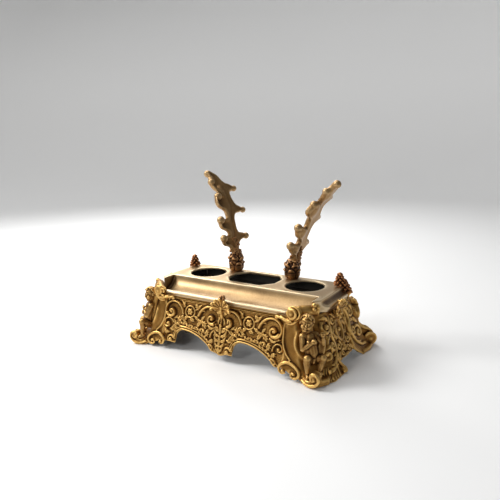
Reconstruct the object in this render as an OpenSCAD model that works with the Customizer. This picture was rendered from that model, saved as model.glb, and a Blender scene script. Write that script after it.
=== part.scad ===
// Desk inkstand: a cast top plate with three openings and a pen trough, carried by four
// flared relief panels between four corner legs, with two seated putti, a palmette crest,
// two lobed pen rests and two berry finials. Millimetres, +Z up, front toward -Y.

/* [Rim and plate] */
// Length of the moulded rim, left to right
rim_l = 254; // [250:1:262]
// Depth of the moulded rim, front to back
rim_d = 118; // [116:1:126]
// Height of the plate's face above the desk
stand_h = 85; // [82:1:96]
// Height of the rim below the plate's face
rim_h = 15; // [13:1:17]
// How far the rim moulding stands out from the plate's edge
cavetto = 7; // [5:0.5:8]
// Thickness of the plate around the openings
plate_t = 3; // [2:0.5:4]
// Thickness of the rim's end walls
rim_wall = 9; // [8:0.5:10]

/* [Openings] */
// Diameter of the two round well openings
well_d = 50; // [40:1:52]
// Distance of each round opening from the middle
well_x = 76; // [72:1:80]
// Distance of the three openings behind the middle
well_y = 18; // [14:1:20]
// Length of the eight-sided opening
octagon_l = 72; // [60:1:76]
// Width of the eight-sided opening
octagon_w = 52; // [44:1:54]
// Corner cut of the eight-sided opening, along its length
octagon_cut_l = 13; // [8:1:16]
// Corner cut of the eight-sided opening, along its width
octagon_cut_w = 16; // [8:1:18]

/* [Pen trough] */
// Length of the pen trough
trough_l = 223; // [200:1:225]
// Radius of the trough's hollow
trough_r = 21; // [19:0.5:22]
// Distance of the trough's deepest line in front of the middle
trough_y = 36; // [35:0.5:37]
// Depth of the trough below the plate's face
trough_depth = 17.5; // [15:0.5:18]
// Thickness of the trough's shell
trough_t = 2.2; // [2:0.1:2.4]
// Height of the front lip below the plate's face
lip_drop = 9.2; // [7:0.1:10]

/* [Body] */
// How far the panels stand back from the rim moulding
panel_inset = 3.3; // [2.5:0.1:4]
// Outward flare of the panels from the rim down to the desk
panel_flare = 18.4; // [14:0.2:20]
// Extra outward sweep of the side skirts at the desk
skirt_sweep = 8; // [4:0.5:10]
// Thickness of the leg castings
leg_wall = 4; // [3:0.5:5]
// Half the length of the front and back panels
panel_half_l = 90; // [88:1:91]
// Half the length of the side panels
side_half_l = 22; // [20:1:24]
// Thickness of a panel's ground
panel_t = 3; // [2:0.5:3.5]
// Depth of the ground below the legs' faces
ground_depth = 2.5; // [2:0.5:3]
// Gap between castings that meet
joint_gap = 0.15; // [0.1:0.05:0.3]

/* [Corners] */
// How much the front corner faces cut off the rim's corners, along the diagonal
front_bevel = 20.5; // [18.5:0.5:22.5]
// How much the back corner faces cut off the rim's corners, along the diagonal
back_bevel = 10.5; // [8.5:0.5:12.5]
// Even part of the corner faces' flare
corner_flare = 17; // [14:0.5:20]
// Curved part of the corner faces' flare
corner_sweep = 16; // [12:0.5:18]
// Radius of the corner rolls
roll_r = 6; // [5:0.5:6.5]
// Radius of the volutes at the front corners' inner ends
volute_r = 6.9; // [5:0.1:7.2]
// Radius of the toe scrolls
toe_r = 6.4; // [5.5:0.1:7]
// Radius of the shield behind each corner figure
shield_r = 21; // [19:0.5:22]

/* [Pen rests and finials] */
// Distance of each pen rest from the middle
rest_x = 45; // [44:0.5:47]
// Distance of the pen rests behind the middle
rest_y = 42.5; // [42:0.5:43]
// Height of the rests' flowered sockets
socket_h = 27; // [24:1:30]
// Height of the rest arms' tips above the plate
rest_tip = 143; // [130:1:150]
// Thickness of a rest arm
arm_t = 5; // [4:0.2:6]
// Diameter of the studs
stud_d = 4; // [3:0.5:5]
// Height of the corner finials
finial_h = 20; // [16:0.5:22]

/* [Hidden] */
$fn = 48;

gold = [0.76, 0.58, 0.30];
pale_gold = [0.86, 0.70, 0.42];
dark_bronze = [0.36, 0.20, 0.10];
steel = [0.55, 0.53, 0.50];

big = 400;
eps = 0.01;
half_l = rim_l / 2;
half_d = rim_d / 2;
rim_z = stand_h - rim_h;
moulding_h = 7;
plate_half_l = half_l - cavetto;
plate_back = half_d - cavetto;
trough_z = stand_h - trough_depth + trough_r;
lip_z = stand_h - lip_drop;

// Body profile: how far a face stands out at height z, t runs from 0 at the rim to 1 at the desk
function drop(z) = 1 - z / rim_z;
function sweep(z) = 1 - sqrt(max(0, 1 - drop(z) * drop(z)));
function front_out(z) = half_d - panel_inset + panel_flare * drop(z);
function side_out(z) = half_l - panel_inset + panel_flare * drop(z) + skirt_sweep * sweep(z);
function corner_out(z, base) = base + corner_flare * drop(z) + corner_sweep * sweep(z);
levels = [for (k = [0:10]) rim_z * (1 - sin(9 * k))];
tilt = atan(panel_flare / rim_z);
slope_l = rim_z / cos(tilt);
function up(z) = z / cos(tilt);

// Where a panel's screws go: distance in from its end, and the two heights
flange_w = 9;
flange_t = 3;
screw_in = 4.5;
screw_low = 33;
screw_high = 55;
screw_d = 3;
screw_head_d = 6;
screw_head_h = 2;
screw_bite = 3.5;
plate_screw_x = half_l - 8.5;
plate_screw_y = side_half_l + 5;
plate_screw_back_x = panel_half_l + 14;
plate_screw_back_y = half_d - 8.5;
shelf_h = 6;
back_wall = 3;
corner_t = (half_l - half_d) / sqrt(2);
rim_corner = (half_l + half_d) / sqrt(2);
front_corner = rim_corner - front_bevel;
back_corner = rim_corner - back_bevel;

// Shields on the corners, and the fixing behind each figure
shield_out = 9.6;
shield_z = 41;
shield_tilt = 20;
shield_lip = 0.8;
figure_fix = [-1.5, -8];
figure_seat = 6.5;
nut_r = 3.8;
nut_h = 3;

// Crests and finials
crest_rivet_z = rim_z - 6.5;
crest_seat = 7.6;
crest_gap = panel_inset + joint_gap - panel_flare * (1 - crest_rivet_z / rim_z);
rivet_d = 2.4;
crest_x = 2;
side_crest_x = 3;
finial_x = half_l - 11.5;
finial_y = half_d - 22;

// ---- shared shapes ----

// A solid whose flat outline is stretched along X or Y, or across a corner
module along_x(l = big) {
    rotate([90, 0, 90]) translate([0, 0, -l / 2]) linear_extrude(l) children();
}
module along_y(l = big) {
    rotate([90, 0, 0]) translate([0, 0, -l / 2]) linear_extrude(l) children();
}

function mirrored(pts) = concat(pts, [for (k = [len(pts) - 1:-1:0]) [-pts[k][0], pts[k][1]]]);

module corner_prism(angle, base, inset) {
    rotate([0, 0, angle]) along_y()
        polygon(concat([[-big, -inset], [corner_out(0, base) - inset, -inset]],
            [for (k = [len(levels) - 1:-1:0]) [corner_out(levels[k], base) - inset, levels[k]]],
            [[corner_out(rim_z, base) - inset, rim_z + inset], [-big, rim_z + inset]]));
}

// The whole flared body, drawn in by inset
module body(inset = 0) {
    intersection() {
        along_y() polygon(mirrored(concat([[side_out(rim_z) - inset, rim_z + inset]],
            [for (z = levels) [side_out(z) - inset, z]], [[side_out(0) - inset, -inset]])));
        along_x() polygon(mirrored(concat([[front_out(rim_z) - inset, rim_z + inset]],
            [for (z = levels) [front_out(z) - inset, z]], [[front_out(0) - inset, -inset]])));
        for_all_corners(inset);
    }
}
module for_all_corners(inset) {
    intersection() {
        corner_prism(-45, front_corner, inset);
        corner_prism(-135, front_corner, inset);
        corner_prism(45, back_corner, inset);
        corner_prism(135, back_corner, inset);
    }
}
module body_shell(wall) {
    difference() {
        body();
        body(wall);
    }
}

// Flat frames: X along the panel, Y up its slope from the desk, Z outward
module on_front() {
    translate([0, -front_out(0), 0]) rotate([90 - tilt, 0, 0]) children();
}
module on_back() { rotate([0, 0, 180]) on_front() children(); }
module on_right() {
    translate([half_l - panel_inset + panel_flare, 0, 0])
        rotate([0, 0, 90]) rotate([90 - tilt, 0, 0]) children();
}
module on_left() { mirror([1, 0, 0]) on_right() children(); }

// Arc of round wire in the flat frame
module wire_arc(centre, r, w, from, to) {
    translate([centre[0], centre[1], 0]) rotate([0, 0, from])
        rotate_extrude(angle = to - from) translate([r, 0])
            polygon([[-w, -w - 0.7], [w, -w - 0.7], [w, w * 0.3], [w * 0.45, w], [-w * 0.45, w], [-w, w * 0.3]]);
}
module bead(at, r) { translate([at[0], at[1], 0]) sphere(r, $fn = 24); }

// C-scroll: an arch of wire that rolls inward to a round eye at one end
module c_scroll(at, r, w, hand = 1) {
    translate([at[0], at[1], 0]) mirror([hand < 0 ? 1 : 0, 0, 0]) {
        wire_arc([0, 0], r, w, 0, 190);
        wire_arc([r * 0.52, 0], r * 0.48, w * 0.9, -180, 0);
        bead([r * 0.38, r * 0.06], r * 0.27);
        bead([-r, -r * 0.2], w * 1.25);
    }
}

// ---- top plate ----

module plan_outline(dx, front, back, front_cut, back_cut) {
    intersection() {
        translate([-dx, -front]) square([2 * dx, front + back]);
        for_each_cut(front_cut, back_cut);
    }
}
module for_each_cut(front_cut, back_cut) {
    intersection() {
        rotate(-45) translate([-big, -big]) square([big + front_cut, 2 * big]);
        rotate(-135) translate([-big, -big]) square([big + front_cut, 2 * big]);
        rotate(45) translate([-big, -big]) square([big + back_cut, 2 * big]);
        rotate(135) translate([-big, -big]) square([big + back_cut, 2 * big]);
    }
}

front_cut = front_corner - roll_r - joint_gap;
back_cut = back_corner - roll_r - joint_gap;
step_in = 1.8;
cove_z = stand_h - 1;

// Rim profile from its lower step up through the cove to the plate's edge
function rim_side(half) = concat(
    [[half - step_in, rim_z], [half - step_in, rim_z + 2.6], [half, rim_z + 3.4],
        [half, cove_z - cavetto]],
    [for (k = [1:6]) [half - cavetto * sin(15 * k), cove_z - cavetto * cos(15 * k)]],
    [[half - cavetto, stand_h]]);
function rim_front(half) = [[-half + step_in, rim_z], [-half + step_in, rim_z + 2.6],
    [-half, rim_z + 3.4], [-half, stand_h]];

module rim_solid() {
    intersection() {
        along_y() polygon(mirrored(rim_side(half_l)));
        along_x() polygon(concat([for (k = [len(rim_side(half_d)) - 1:-1:0])
            rim_side(half_d)[k]], rim_front(half_d)));
        translate([0, 0, rim_z - 20]) linear_extrude(60)
            plan_outline(half_l + 1, half_d + 1, half_d + 1, front_cut, back_cut);
    }
}

module trough_cyl(r, l) {
    translate([0, -trough_y, trough_z]) rotate([0, 90, 0]) cylinder(h = l, r = r, center = true,
        $fn = 96);
}

module octagon() {
    polygon([for (s = [[1, 1, 0], [1, 1, 1], [-1, 1, 1], [-1, 1, 0], [-1, -1, 0], [-1, -1, 1],
        [1, -1, 1], [1, -1, 0]])
        [s[0] * (octagon_l / 2 - (s[2] > 0 ? octagon_cut_l : 0)),
            s[1] * (octagon_w / 2 - (s[2] > 0 ? 0 : octagon_cut_w))]]);
}

module top_plate() {
    pocket_top = stand_h - plate_t;
    color(gold) difference() {
        union() {
            difference() {
                rim_solid();
                translate([0, 0, rim_z - 1]) linear_extrude(pocket_top - rim_z + 1)
                    plan_outline(plate_half_l - rim_wall, half_d - 9, plate_back - back_wall,
                        front_cut - 5, back_cut - 5);
            }
            intersection() {
                trough_cyl(trough_r + trough_t, trough_l + 2 * trough_t);
                translate([0, 0, rim_z - 20]) linear_extrude(20 + rim_h)
                    plan_outline(half_l, half_d, 0, front_cut, back_cut);
            }
        }
        trough_cyl(trough_r, trough_l);
        translate([-trough_l / 2, -half_d - 5, lip_z])
            cube([trough_l, half_d + 5 - trough_y, 40]);
        for (s = [-1, 1]) translate([s * well_x, well_y, rim_z])
            cylinder(h = 30, d = well_d, $fn = 96);
        translate([0, well_y + 2.3, rim_z]) linear_extrude(30) octagon();
        for (s = [-1, 1]) {
            translate([s * rest_x, rest_y, rim_z]) cylinder(h = 30, d = stud_d + 0.4);
            translate([s * finial_x, finial_y, stand_h - 9]) cylinder(h = 10, d = stud_d + 0.2);
            for (p = [[plate_screw_x, -plate_screw_y], [plate_screw_back_x, plate_screw_back_y]])
                translate([s * p[0], p[1], rim_z - shelf_h]) {
                    cylinder(h = shelf_h + 8, d = screw_d + 0.1);
                    translate([0, 0, -20]) cylinder(h = 20, d = screw_head_d + 0.4);
                }
        }
    }
}

// ---- relief panels, drawn flat ----

edge_z = 10.6;
arch_x = -58;
arch_top = up(28.3);
arch_small = 12;
arch_large = 71;
relief_z = -1.3;
stile = 6;

module arch_cut() {
    translate([arch_x, arch_top - arch_small]) circle(arch_small, $fn = 64);
    intersection() {
        translate([arch_x, arch_top - arch_large]) circle(arch_large, $fn = 160);
        translate([arch_x, 0]) square([45.5, 60]);
    }
}
module arch_edge() {
    wire_arc([arch_x, arch_top - arch_small], arch_small + 1.1, 1.4, 88, 185);
    wire_arc([arch_x, arch_top - arch_large], arch_large + 1.2, 1.5, 57, 90);
}

// One scroll group of the long frieze
module frieze_group() {
    c_scroll([-74, up(52.5)], 11.5, 1.3, -1);
    c_scroll([-19, up(53)], 11, 1.3, 1);
    wire_arc([-48.1, up(54.3)], 6.8, 1.2, 0, 360);
    bead([-48.1, up(54.3)], 3.2);
    wire_arc([-80, up(38)], 6.2, 1.2, -10, 200);
    bead([-76.5, up(36)], 2.2);
    wire_arc([-8, up(33)], 6.2, 1.1, -60, 150);
    wire_arc([-68, up(34)], 5.4, 1.1, 160, 330);
    wire_arc([-76.8, up(15.6)], 4.2, 1.3, -90, 180);
    bead([-77, up(15.6)], 2);
    for (k = [0:7])
        bead([-64 + 5.1 * k, up(33.2 - 0.9 * k + 0.16 * k * k)], 1.9 + 0.25 * (k % 2));
    for (p = [[-58.5, 45.5], [-37, 46.5], [-33.5, 56], [-61.5, 59], [-43, 43.5], [-28, 41],
        [-19.4, 21.1], [-15.5, 17], [-12.9, 13.8], [-23.5, 24.2]])
        bead([p[0], up(p[1])], 2.1);
}
// Leaf cluster in the middle of the long frieze
module frieze_middle() {
    for (p = [[0, 46, 1.6], [0, 41.5, 2.1], [0, 36, 3], [-5, 31, 2.4], [5, 31, 2.4],
        [0, 27.5, 3.2], [-5.5, 23.5, 2.3], [5.5, 23.5, 2.3], [0, 19, 2.8], [-3.6, 14.5, 2],
        [3.6, 14.5, 2], [0, 10.4, 2.8]])
        bead([p[0], up(p[1])], p[2]);
}

module panel_ground(half) {
    translate([-half, up(edge_z)]) square([2 * half, slope_l + 5 - up(edge_z)]);
}
module panel_stiles(half) {
    for (s = [-1, 1]) translate([s * (half - stile / 2) - stile / 2, up(edge_z), -ground_depth - 1])
        cube([stile, slope_l + 5 - up(edge_z), ground_depth + 0.4]);
}
module screw_points(half) {
    for (s = [-1, 1], v = [screw_low, screw_high])
        translate([s * (half - screw_in), up(v), -ground_depth - panel_t]) children();
}
// The pads and holes that take a crest's rivet, along the panel's outward level line
module crest_boss(x) {
    translate([x, up(crest_rivet_z), 0]) rotate([tilt, 0, 0])
        translate([0, 0, -crest_seat]) cylinder(h = crest_seat + crest_gap - joint_gap, r = 4);
}
module crest_bore(x) {
    translate([x, up(crest_rivet_z), 0]) rotate([tilt, 0, 0])
        translate([0, 0, -20]) cylinder(h = 40, d = rivet_d + 0.2);
}
module trim_panel(half) {
    intersection() {
        children();
        translate([-half, 0, -20]) cube([2 * half, big, 40]);
    }
}

module long_panel(crest) {
    half = panel_half_l - joint_gap / 2;
    difference() {
        union() {
            translate([0, 0, -ground_depth - panel_t]) linear_extrude(panel_t) difference() {
                panel_ground(half);
                for (k = [0, 1]) translate([panel_half_l * k, 0]) arch_cut();
            }
            panel_stiles(half);
            translate([0, up(67.3), -ground_depth]) cube([2 * half - 2 * stile + 1, 2, 2.4],
                center = true);
            trim_panel(half) translate([0, 0, relief_z]) {
                for (k = [0, 1]) translate([panel_half_l * k, 0, 0]) {
                    frieze_group();
                    arch_edge();
                }
                frieze_middle();
            }
            if (crest) crest_boss(crest_x);
        }
        screw_points(half) translate([0, 0, -1]) cylinder(h = screw_bite + 1, d = screw_d + 0.1);
        if (crest) crest_bore(crest_x);
    }
}

// Cartouche and scrolls of the side panels
module side_relief() {
    wire_arc([0, up(48)], 7.4, 1.4, 0, 180);
    wire_arc([0, up(38)], 7.4, 1.4, 180, 360);
    for (s = [-1, 1]) {
        translate([s * 7.4, up(43), -0.2]) cube([2.4, up(10), 2.4], center = true);
        wire_arc([s * 13.5, up(59)], 4.4, 1.2, s > 0 ? -60 : -30, s > 0 ? 210 : 240);
        bead([s * 13.5, up(59)], 2);
        wire_arc([s * 13.5, up(25)], 4.4, 1.2, s > 0 ? 90 : 0, s > 0 ? 360 : 180);
        bead([s * 13.5, up(25)], 2);
        bead([s * 14, up(43)], 2.6);
        bead([s * 12.5, up(34)], 2);
        bead([s * 12.5, up(51)], 2);
        bead([s * 7, up(15)], 2.3);
        wire_arc([s * 7, up(17.5)], 5, 1.2, s > 0 ? -60 : 60, s > 0 ? 120 : 240);
    }
    for (p = [[0, 43, 3.6], [0, 26, 2.8], [0, 20.5, 2.4], [0, 15.5, 2.6], [0, 11.5, 2.3]])
        bead([p[0], up(p[1])], p[2]);
}
module side_panel() {
    half = side_half_l - joint_gap / 2;
    difference() {
        union() {
            translate([0, 0, -ground_depth - panel_t]) linear_extrude(panel_t) panel_ground(half);
            panel_stiles(half);
            trim_panel(half) translate([0, 0, relief_z]) side_relief();
            crest_boss(side_crest_x);
        }
        screw_points(half) translate([0, 0, -1]) cylinder(h = screw_bite + 1, d = screw_d + 0.1);
        crest_bore(side_crest_x);
    }
}

module below_rim() {
    intersection() {
        children();
        translate([-big / 2, -big / 2, 0]) cube([big, big, rim_z]);
    }
}
module front_panel() { color(gold) below_rim() on_front() long_panel(true); }
module back_panel() { color(gold) below_rim() on_back() long_panel(false); }
module left_panel() { color(gold) below_rim() on_left() side_panel(); }
module right_panel() { color(gold) below_rim() on_right() side_panel(); }

// ---- corner legs, drawn at the front right ----

module at_corner(base) {
    rotate([0, 0, -45]) translate([base, corner_t, 0]) children();
}
module on_shield(base) {
    at_corner(base) translate([shield_out, 0, shield_z]) rotate([0, -shield_tilt, 0]) children();
}
module shield(base, r) {
    on_shield(base) rotate([0, 90, 0]) translate([0, 0, -3.6])
        cylinder(h = 3.6 + shield_lip, r = r, $fn = 64);
}
module shield_dish(base, r) {
    rim = 2;
    dish = 2.4;
    ball = ((r - rim) * (r - rim) + dish * dish) / (2 * dish);
    on_shield(base) rotate([0, 90, 0]) intersection() {
        translate([0, 0, shield_lip + ball - dish]) sphere(ball, $fn = 128);
        translate([0, 0, -3]) cylinder(h = 3.2 + shield_lip, r = r - rim, $fn = 64);
    }
}

// Inner flanges that carry the panels' screws
module flange() {
    foot = -ground_depth - panel_t - joint_gap;
    translate([-9, up(24), foot - flange_t]) cube([18, up(37), flange_t]);
    translate([joint_gap, up(24), foot - flange_t]) cube([9 - joint_gap, up(37), 6.4]);
}
module flange_holes(d) {
    for (v = [screw_low, screw_high]) translate([-screw_in - joint_gap / 2, up(v), -16])
        cylinder(h = 14, d = d);
}
module at_front_end() { on_front() translate([panel_half_l, 0, 0]) children(); }
module at_side_end() {
    on_right() translate([-side_half_l, 0, 0]) mirror([1, 0, 0]) children();
}

module scroll_toe(at, r, len) {
    translate([at[0], at[1], at[2]]) rotate([90, 0, 0]) {
        cylinder(h = len, r = r - 1.2, center = true);
        translate([0, 0, len / 2 - 0.6]) rotate_extrude() translate([r - 1.4, 0])
            circle(1.4, $fn = 24);
        translate([0, 0, -len / 2 + 0.6]) rotate_extrude() translate([r - 1.4, 0])
            circle(1.4, $fn = 24);
        translate([0, 0, len / 2]) sphere(2.4, $fn = 32);
    }
}

// The body as it stands round the corner that is being drawn
module turned(base) { mirror([0, base == back_corner ? 1 : 0, 0]) children(); }

// Shape shared by all four legs: the flared casting, its roll, flanges and ledge
module leg_core(base, roll_from, roll_to, roll_in, ledge) {
    difference() {
        union() {
            intersection() {
                union() {
                    turned(base) body_shell(leg_wall);
                    intersection() {
                        turned(base) body();
                        union() {
                            translate([ledge[0], ledge[1], rim_z - shelf_h])
                                cube([ledge[2], ledge[3], shelf_h + 1]);
                            at_corner(base) translate([-roll_r - 0.02, roll_from, rim_z - shelf_h])
                                cube([roll_r, roll_to - roll_from, shelf_h + 1]);
                        }
                    }
                }
                translate([panel_half_l + joint_gap / 2, -150 - side_half_l - joint_gap / 2, 0])
                    cube([150, 150, rim_z]);
            }
            at_corner(base) translate([-roll_r - 0.02, roll_from, rim_z - 1])
                cube([roll_r, roll_to - roll_from, 10]);
            at_corner(base) translate([-roll_in, roll_from, rim_z + 6.5]) rotate([-90, 0, 0])
                cylinder(h = roll_to - roll_from, r = roll_r - roll_in);
            at_front_end() flange();
            at_side_end() flange();
        }
        at_front_end() flange_holes(screw_d + 0.4);
        at_side_end() flange_holes(screw_d + 0.4);
    }
}

// Rim corner that the toes, volutes and leaves keep their place from
module at_rim_corner() { translate([half_l, -half_d, 0]) children(); }
module screw_way(x, y) {
    translate([x, y, rim_z - shelf_h]) {
        translate([0, 0, -1]) cylinder(h = shelf_h + 12, d = screw_d + 0.4);
        translate([0, 0, -9]) cylinder(h = 9, d = screw_head_d + 0.6);
    }
}

module figure_boss() {
    on_shield(front_corner) translate([0, figure_fix[0], figure_fix[1]]) rotate([0, 90, 0]) {
        translate([0, 0, -3.5]) cylinder(h = 4.1, r = 5.5);
        translate([0, 0, -figure_seat]) cylinder(h = 4, r = 5.5);
    }
}
module leg_underside() {
    translate([0, -80, 0]) along_y(60) polygon([[70, -5], [118.5, -5], [116.5, 1.5], [112, 3.2],
        [107, 5], [102, 6.6], [96, 9], [90, edge_z], [70, edge_z]]);
}
module plan_block(h, pts) { linear_extrude(h) polygon(pts); }
module face_scrolls() {
    on_front() translate([0, 0, relief_z + 0.5]) {
        c_scroll([98.7, up(11.2)], 7.4, 1.3, 1);
        bead([108, up(7.6)], 2.2);
    }
}

module leg_front() {
    difference() {
        union() {
            difference() {
                union() {
                    leg_core(front_corner, -24, 11.5, 0, [plate_screw_x - 4.2,
                        -plate_screw_y - 9, 60, plate_screw_y + 9 - side_half_l - 0.08]);
                    shield(front_corner, shield_r);
                    at_rim_corner() plan_block(7.5, [[-11, -7], [-8, -14], [-3, -19], [4, -20],
                        [10, -17], [15, -9], [19, -1], [13, 9], [3, 7]]);
                }
                shield_dish(front_corner, shield_r);
                leg_underside();
            }
            figure_boss();
            at_rim_corner() {
                scroll_toe([7.5, -15, 12.6], toe_r, 9);
                scroll_toe([-27.6, -0.9, rim_z + 6.2], volute_r, 7.6);
                translate([-37.4, -1.7, rim_z + 2.2]) rotate([90, 0, 0]) wire_arc([0, 0], 5.4,
                    1.3, 195, 330);
                translate([-42.3, -1.7, rim_z + 1]) sphere(1.6, $fn = 24);
            }
            at_corner(front_corner) translate([2.5, 9, rim_z + 12]) sphere(3.2, $fn = 32);
            face_scrolls();
            translate([half_l + 20.5, -side_half_l - 2.4, 5.6]) rotate([0, 90, 0]) {
                cylinder(h = 5, r = 3, center = true);
                translate([0, 0, 2.5]) sphere(1.6, $fn = 24);
            }
        }
        on_shield(front_corner) translate([0, figure_fix[0], figure_fix[1]]) rotate([0, 90, 0])
            translate([0, 0, -20]) cylinder(h = 30, d = stud_d + 0.3);
        at_corner(front_corner) translate([-3.6, -6, rim_z + 6]) cylinder(h = 14, d = 3);
        screw_way(plate_screw_x, -plate_screw_y);
    }
}

module back_shield() {
    at_corner(back_corner) translate([0, 2, 48]) rotate([0, 90, 0]) difference() {
        cylinder(h = 13.2, r = 10.6, $fn = 64);
        translate([0, 0, 13.2 + 18]) sphere(20, $fn = 96);
    }
}

// The back legs are drawn at the front right too, then mirrored
module leg_back() {
    difference() {
        union() {
            difference() {
                union() {
                    leg_core(back_corner, -8, 8, 1, [plate_screw_back_x - 8, -half_d - 1, 18, 14.5]);
                    back_shield();
                    at_rim_corner() plan_block(5, [[1, 9], [11, 21], [21, 20], [24.5, 7],
                        [23, -5], [18, -14.5], [10, -18], [-1, -17], [-9, -13]]);
                }
                leg_underside();
                translate([170, 0, 0]) along_x(80) polygon([[-10, -5], [-10, edge_z],
                    [-22, edge_z], [-27, 7], [-31, 3.5], [-35.5, 1.5], [-37, -5]]);
            }
            at_corner(back_corner) rotate([0, 0, 180]) scroll_toe([-29.4, -3, 10.7],
                toe_r + 3.2, 13);
            face_scrolls();
        }
        screw_way(plate_screw_back_x, -plate_screw_back_y);
    }
}
module leg_front_right() { color(gold) leg_front(); }
module leg_front_left() { color(gold) mirror([1, 0, 0]) leg_front(); }
module leg_back_right() { color(gold) mirror([0, 1, 0]) leg_back(); }
module leg_back_left() { color(gold) mirror([1, 0, 0]) mirror([0, 1, 0]) leg_back(); }

// ---- seated putti, with a cast stud behind each ----

// Points of a figure, from the middle of a stand with its corner at this datum
figure_datum = [111, 48.1];
function at(d, t, z) = [d - figure_datum[0], t - figure_datum[1], z];
module ball(p, r) { translate(p) sphere(r, $fn = 12); }
module bone(a, ra, b, rb) {
    hull() {
        ball(a, ra);
        ball(b, rb);
    }
}
module putto() {
    pelvis = at(131.5, 46, 26);
    belly = at(131, 45.5, 36);
    chest = at(128.8, 44, 46.5);
    head = at(124.8, 43, 67);
    jaw = at(127.2, 42.4, 62.6);
    at_corner(front_corner) {
        bone(pelvis, 7, belly, 6.2);
        bone(belly, 6.2, chest, 5.8);
        hull() {
            ball(chest, 5.6);
            ball(at(127.6, 38, 50), 3.1);
            ball(at(127, 50.5, 49.5), 3.1);
            ball(at(126.8, 43.5, 54), 3);
        }
        bone(at(126.8, 43.5, 54), 3, jaw, 3.4);
        bone(head, 6.5, jaw, 4.8);
        for (a = [0:60:300]) ball([head[0] - 1.4 + 5.2 * cos(a), head[1] + 5.2 * sin(a),
            head[2] + 3], 2.3);
        for (a = [30:120:270]) ball([head[0] - 1.4 + 2.2 * cos(a), head[1] + 2.2 * sin(a),
            head[2] + 6], 2.4);
        bone(at(127.6, 37.4, 50), 3, at(134.4, 35.8, 38.4), 2.5);
        bone(at(134.4, 35.8, 38.4), 2.4, at(135.2, 44.2, 45.4), 1.9);
        ball(at(135.4, 45.2, 46), 2.5);
        bone(at(127, 51, 49.5), 3, at(130.5, 57.4, 40.5), 2.4);
        bone(at(130.5, 57.4, 40.5), 2.3, at(131, 58.6, 49.5), 1.9);
        ball(at(131, 58.8, 50.6), 2.4);
        bone(at(132, 42.5, 26), 5.2, at(141.6, 35.6, 30.6), 3.5);
        bone(at(141.6, 35.6, 30.6), 3.3, at(142.4, 34, 13.6), 2.2);
        bone(at(142.4, 34, 12.2), 2.2, at(146, 33.4, 10.6), 1.6);
        bone(at(132, 49.5, 25.6), 5.2, at(139.4, 54, 29.4), 3.5);
        bone(at(139.4, 54, 29.4), 3.3, at(139.6, 51.2, 15.4), 2.2);
        bone(at(139.6, 51.2, 14.4), 2.2, at(142.6, 50.6, 12.6), 1.6);
        bone(at(130.2, 51, 24), 4, at(130.5, 57, 33), 2.2);
    }
    on_shield(front_corner) translate([0, figure_fix[0], figure_fix[1]]) rotate([0, 90, 0])
        translate([0, 0, -figure_seat - nut_h - 1.5]) cylinder(h = figure_seat + nut_h + 5,
            d = stud_d);
}
module putto_room() {
    on_shield(front_corner) translate([-20 + shield_lip + joint_gap, -40, -60]) difference() {
        cube([20, 80, 130]);
        translate([0, 40 + figure_fix[0], 60 + figure_fix[1]]) rotate([0, 90, 0])
            translate([0, 0, -20]) cylinder(h = 60, d = stud_d + 0.02);
    }
    at_corner(front_corner) translate([0, -30, rim_z + 6.5]) rotate([-90, 0, 0])
        cylinder(h = 60, r = roll_r + 0.3);
    at_rim_corner() translate([7.5, -15, 12.6]) rotate([90, 0, 0]) cylinder(h = 9.6,
        r = toe_r + 0.4, center = true);
    translate([100, -100, -10]) cube([60, 60, 17.5 + joint_gap]);
}
module putto_whole() {
    difference() {
        putto();
        putto_room();
    }
}
module putto_right() { color(gold) putto_whole(); }
module putto_left() { color(gold) mirror([1, 0, 0]) putto_whole(); }

module hex_nut(h, bore) {
    difference() {
        cylinder(h = h, r = nut_r, $fn = 6);
        translate([0, 0, -1]) cylinder(h = h + 2, d = bore);
    }
}
module putto_nuts() {
    color(steel) for (s = [0, 1]) mirror([s, 0, 0]) on_shield(front_corner)
        translate([0, figure_fix[0], figure_fix[1]]) rotate([0, 90, 0])
            translate([0, 0, -figure_seat - nut_h]) hex_nut(nut_h, stud_d + 0.1);
}

// ---- palmette crests: X across, Z up, outward along -Y ----

module crest(seat_z) {
    difference() {
        union() {
            translate([0, -1.5, rim_z - 4]) {
                for (a = [-66, -33, 0, 33, 66]) rotate([0, a, 0]) {
                    cylinder(h = 8.4, r1 = 1.4, r2 = 2.3);
                    translate([0, 0, 8.4]) sphere(2.3, $fn = 32);
                }
                translate([1, 0.3, 12]) sphere(2.6, $fn = 32);
                translate([1.8, 2.4, 14.8]) sphere(2.1, $fn = 32);
                translate([0, 0, -7.6]) cylinder(h = 9, r1 = 1.5, r2 = 2.4);
                translate([0, 0, -7.6]) sphere(1.8, $fn = 32);
                for (s = [-1, 1]) translate([s * 5.2, 0, -2.6]) rotate([90, 0, 0])
                    rotate_extrude() translate([2.9, 0]) circle(1.2, $fn = 24);
            }
            translate([0, 0, crest_rivet_z]) rotate([90, 0, 0]) cylinder(h = 4.2, r = 3.4);
            translate([0, -4, crest_rivet_z]) sphere(1.9, $fn = 32);
        }
        translate([-30, 0, 0]) cube([60, 20, seat_z + joint_gap]);
        translate([0, 3, crest_rivet_z]) rotate([90, 0, 0]) cylinder(h = 5.8, d = rivet_d + 0.1);
    }
}
module at_crest(side) {
    if (side == 0) translate([crest_x, -half_d - joint_gap, 0]) children();
    else mirror([side < 0 ? 1 : 0, 0, 0]) translate([half_l + joint_gap, side_crest_x, 0])
        rotate([0, 0, 90]) children();
}
module crest_front() { color(gold) at_crest(0) crest(lip_z); }
module crest_left() { color(gold) at_crest(-1) crest(cove_z - cavetto); }
module crest_right() { color(gold) at_crest(1) crest(cove_z - cavetto); }
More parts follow.
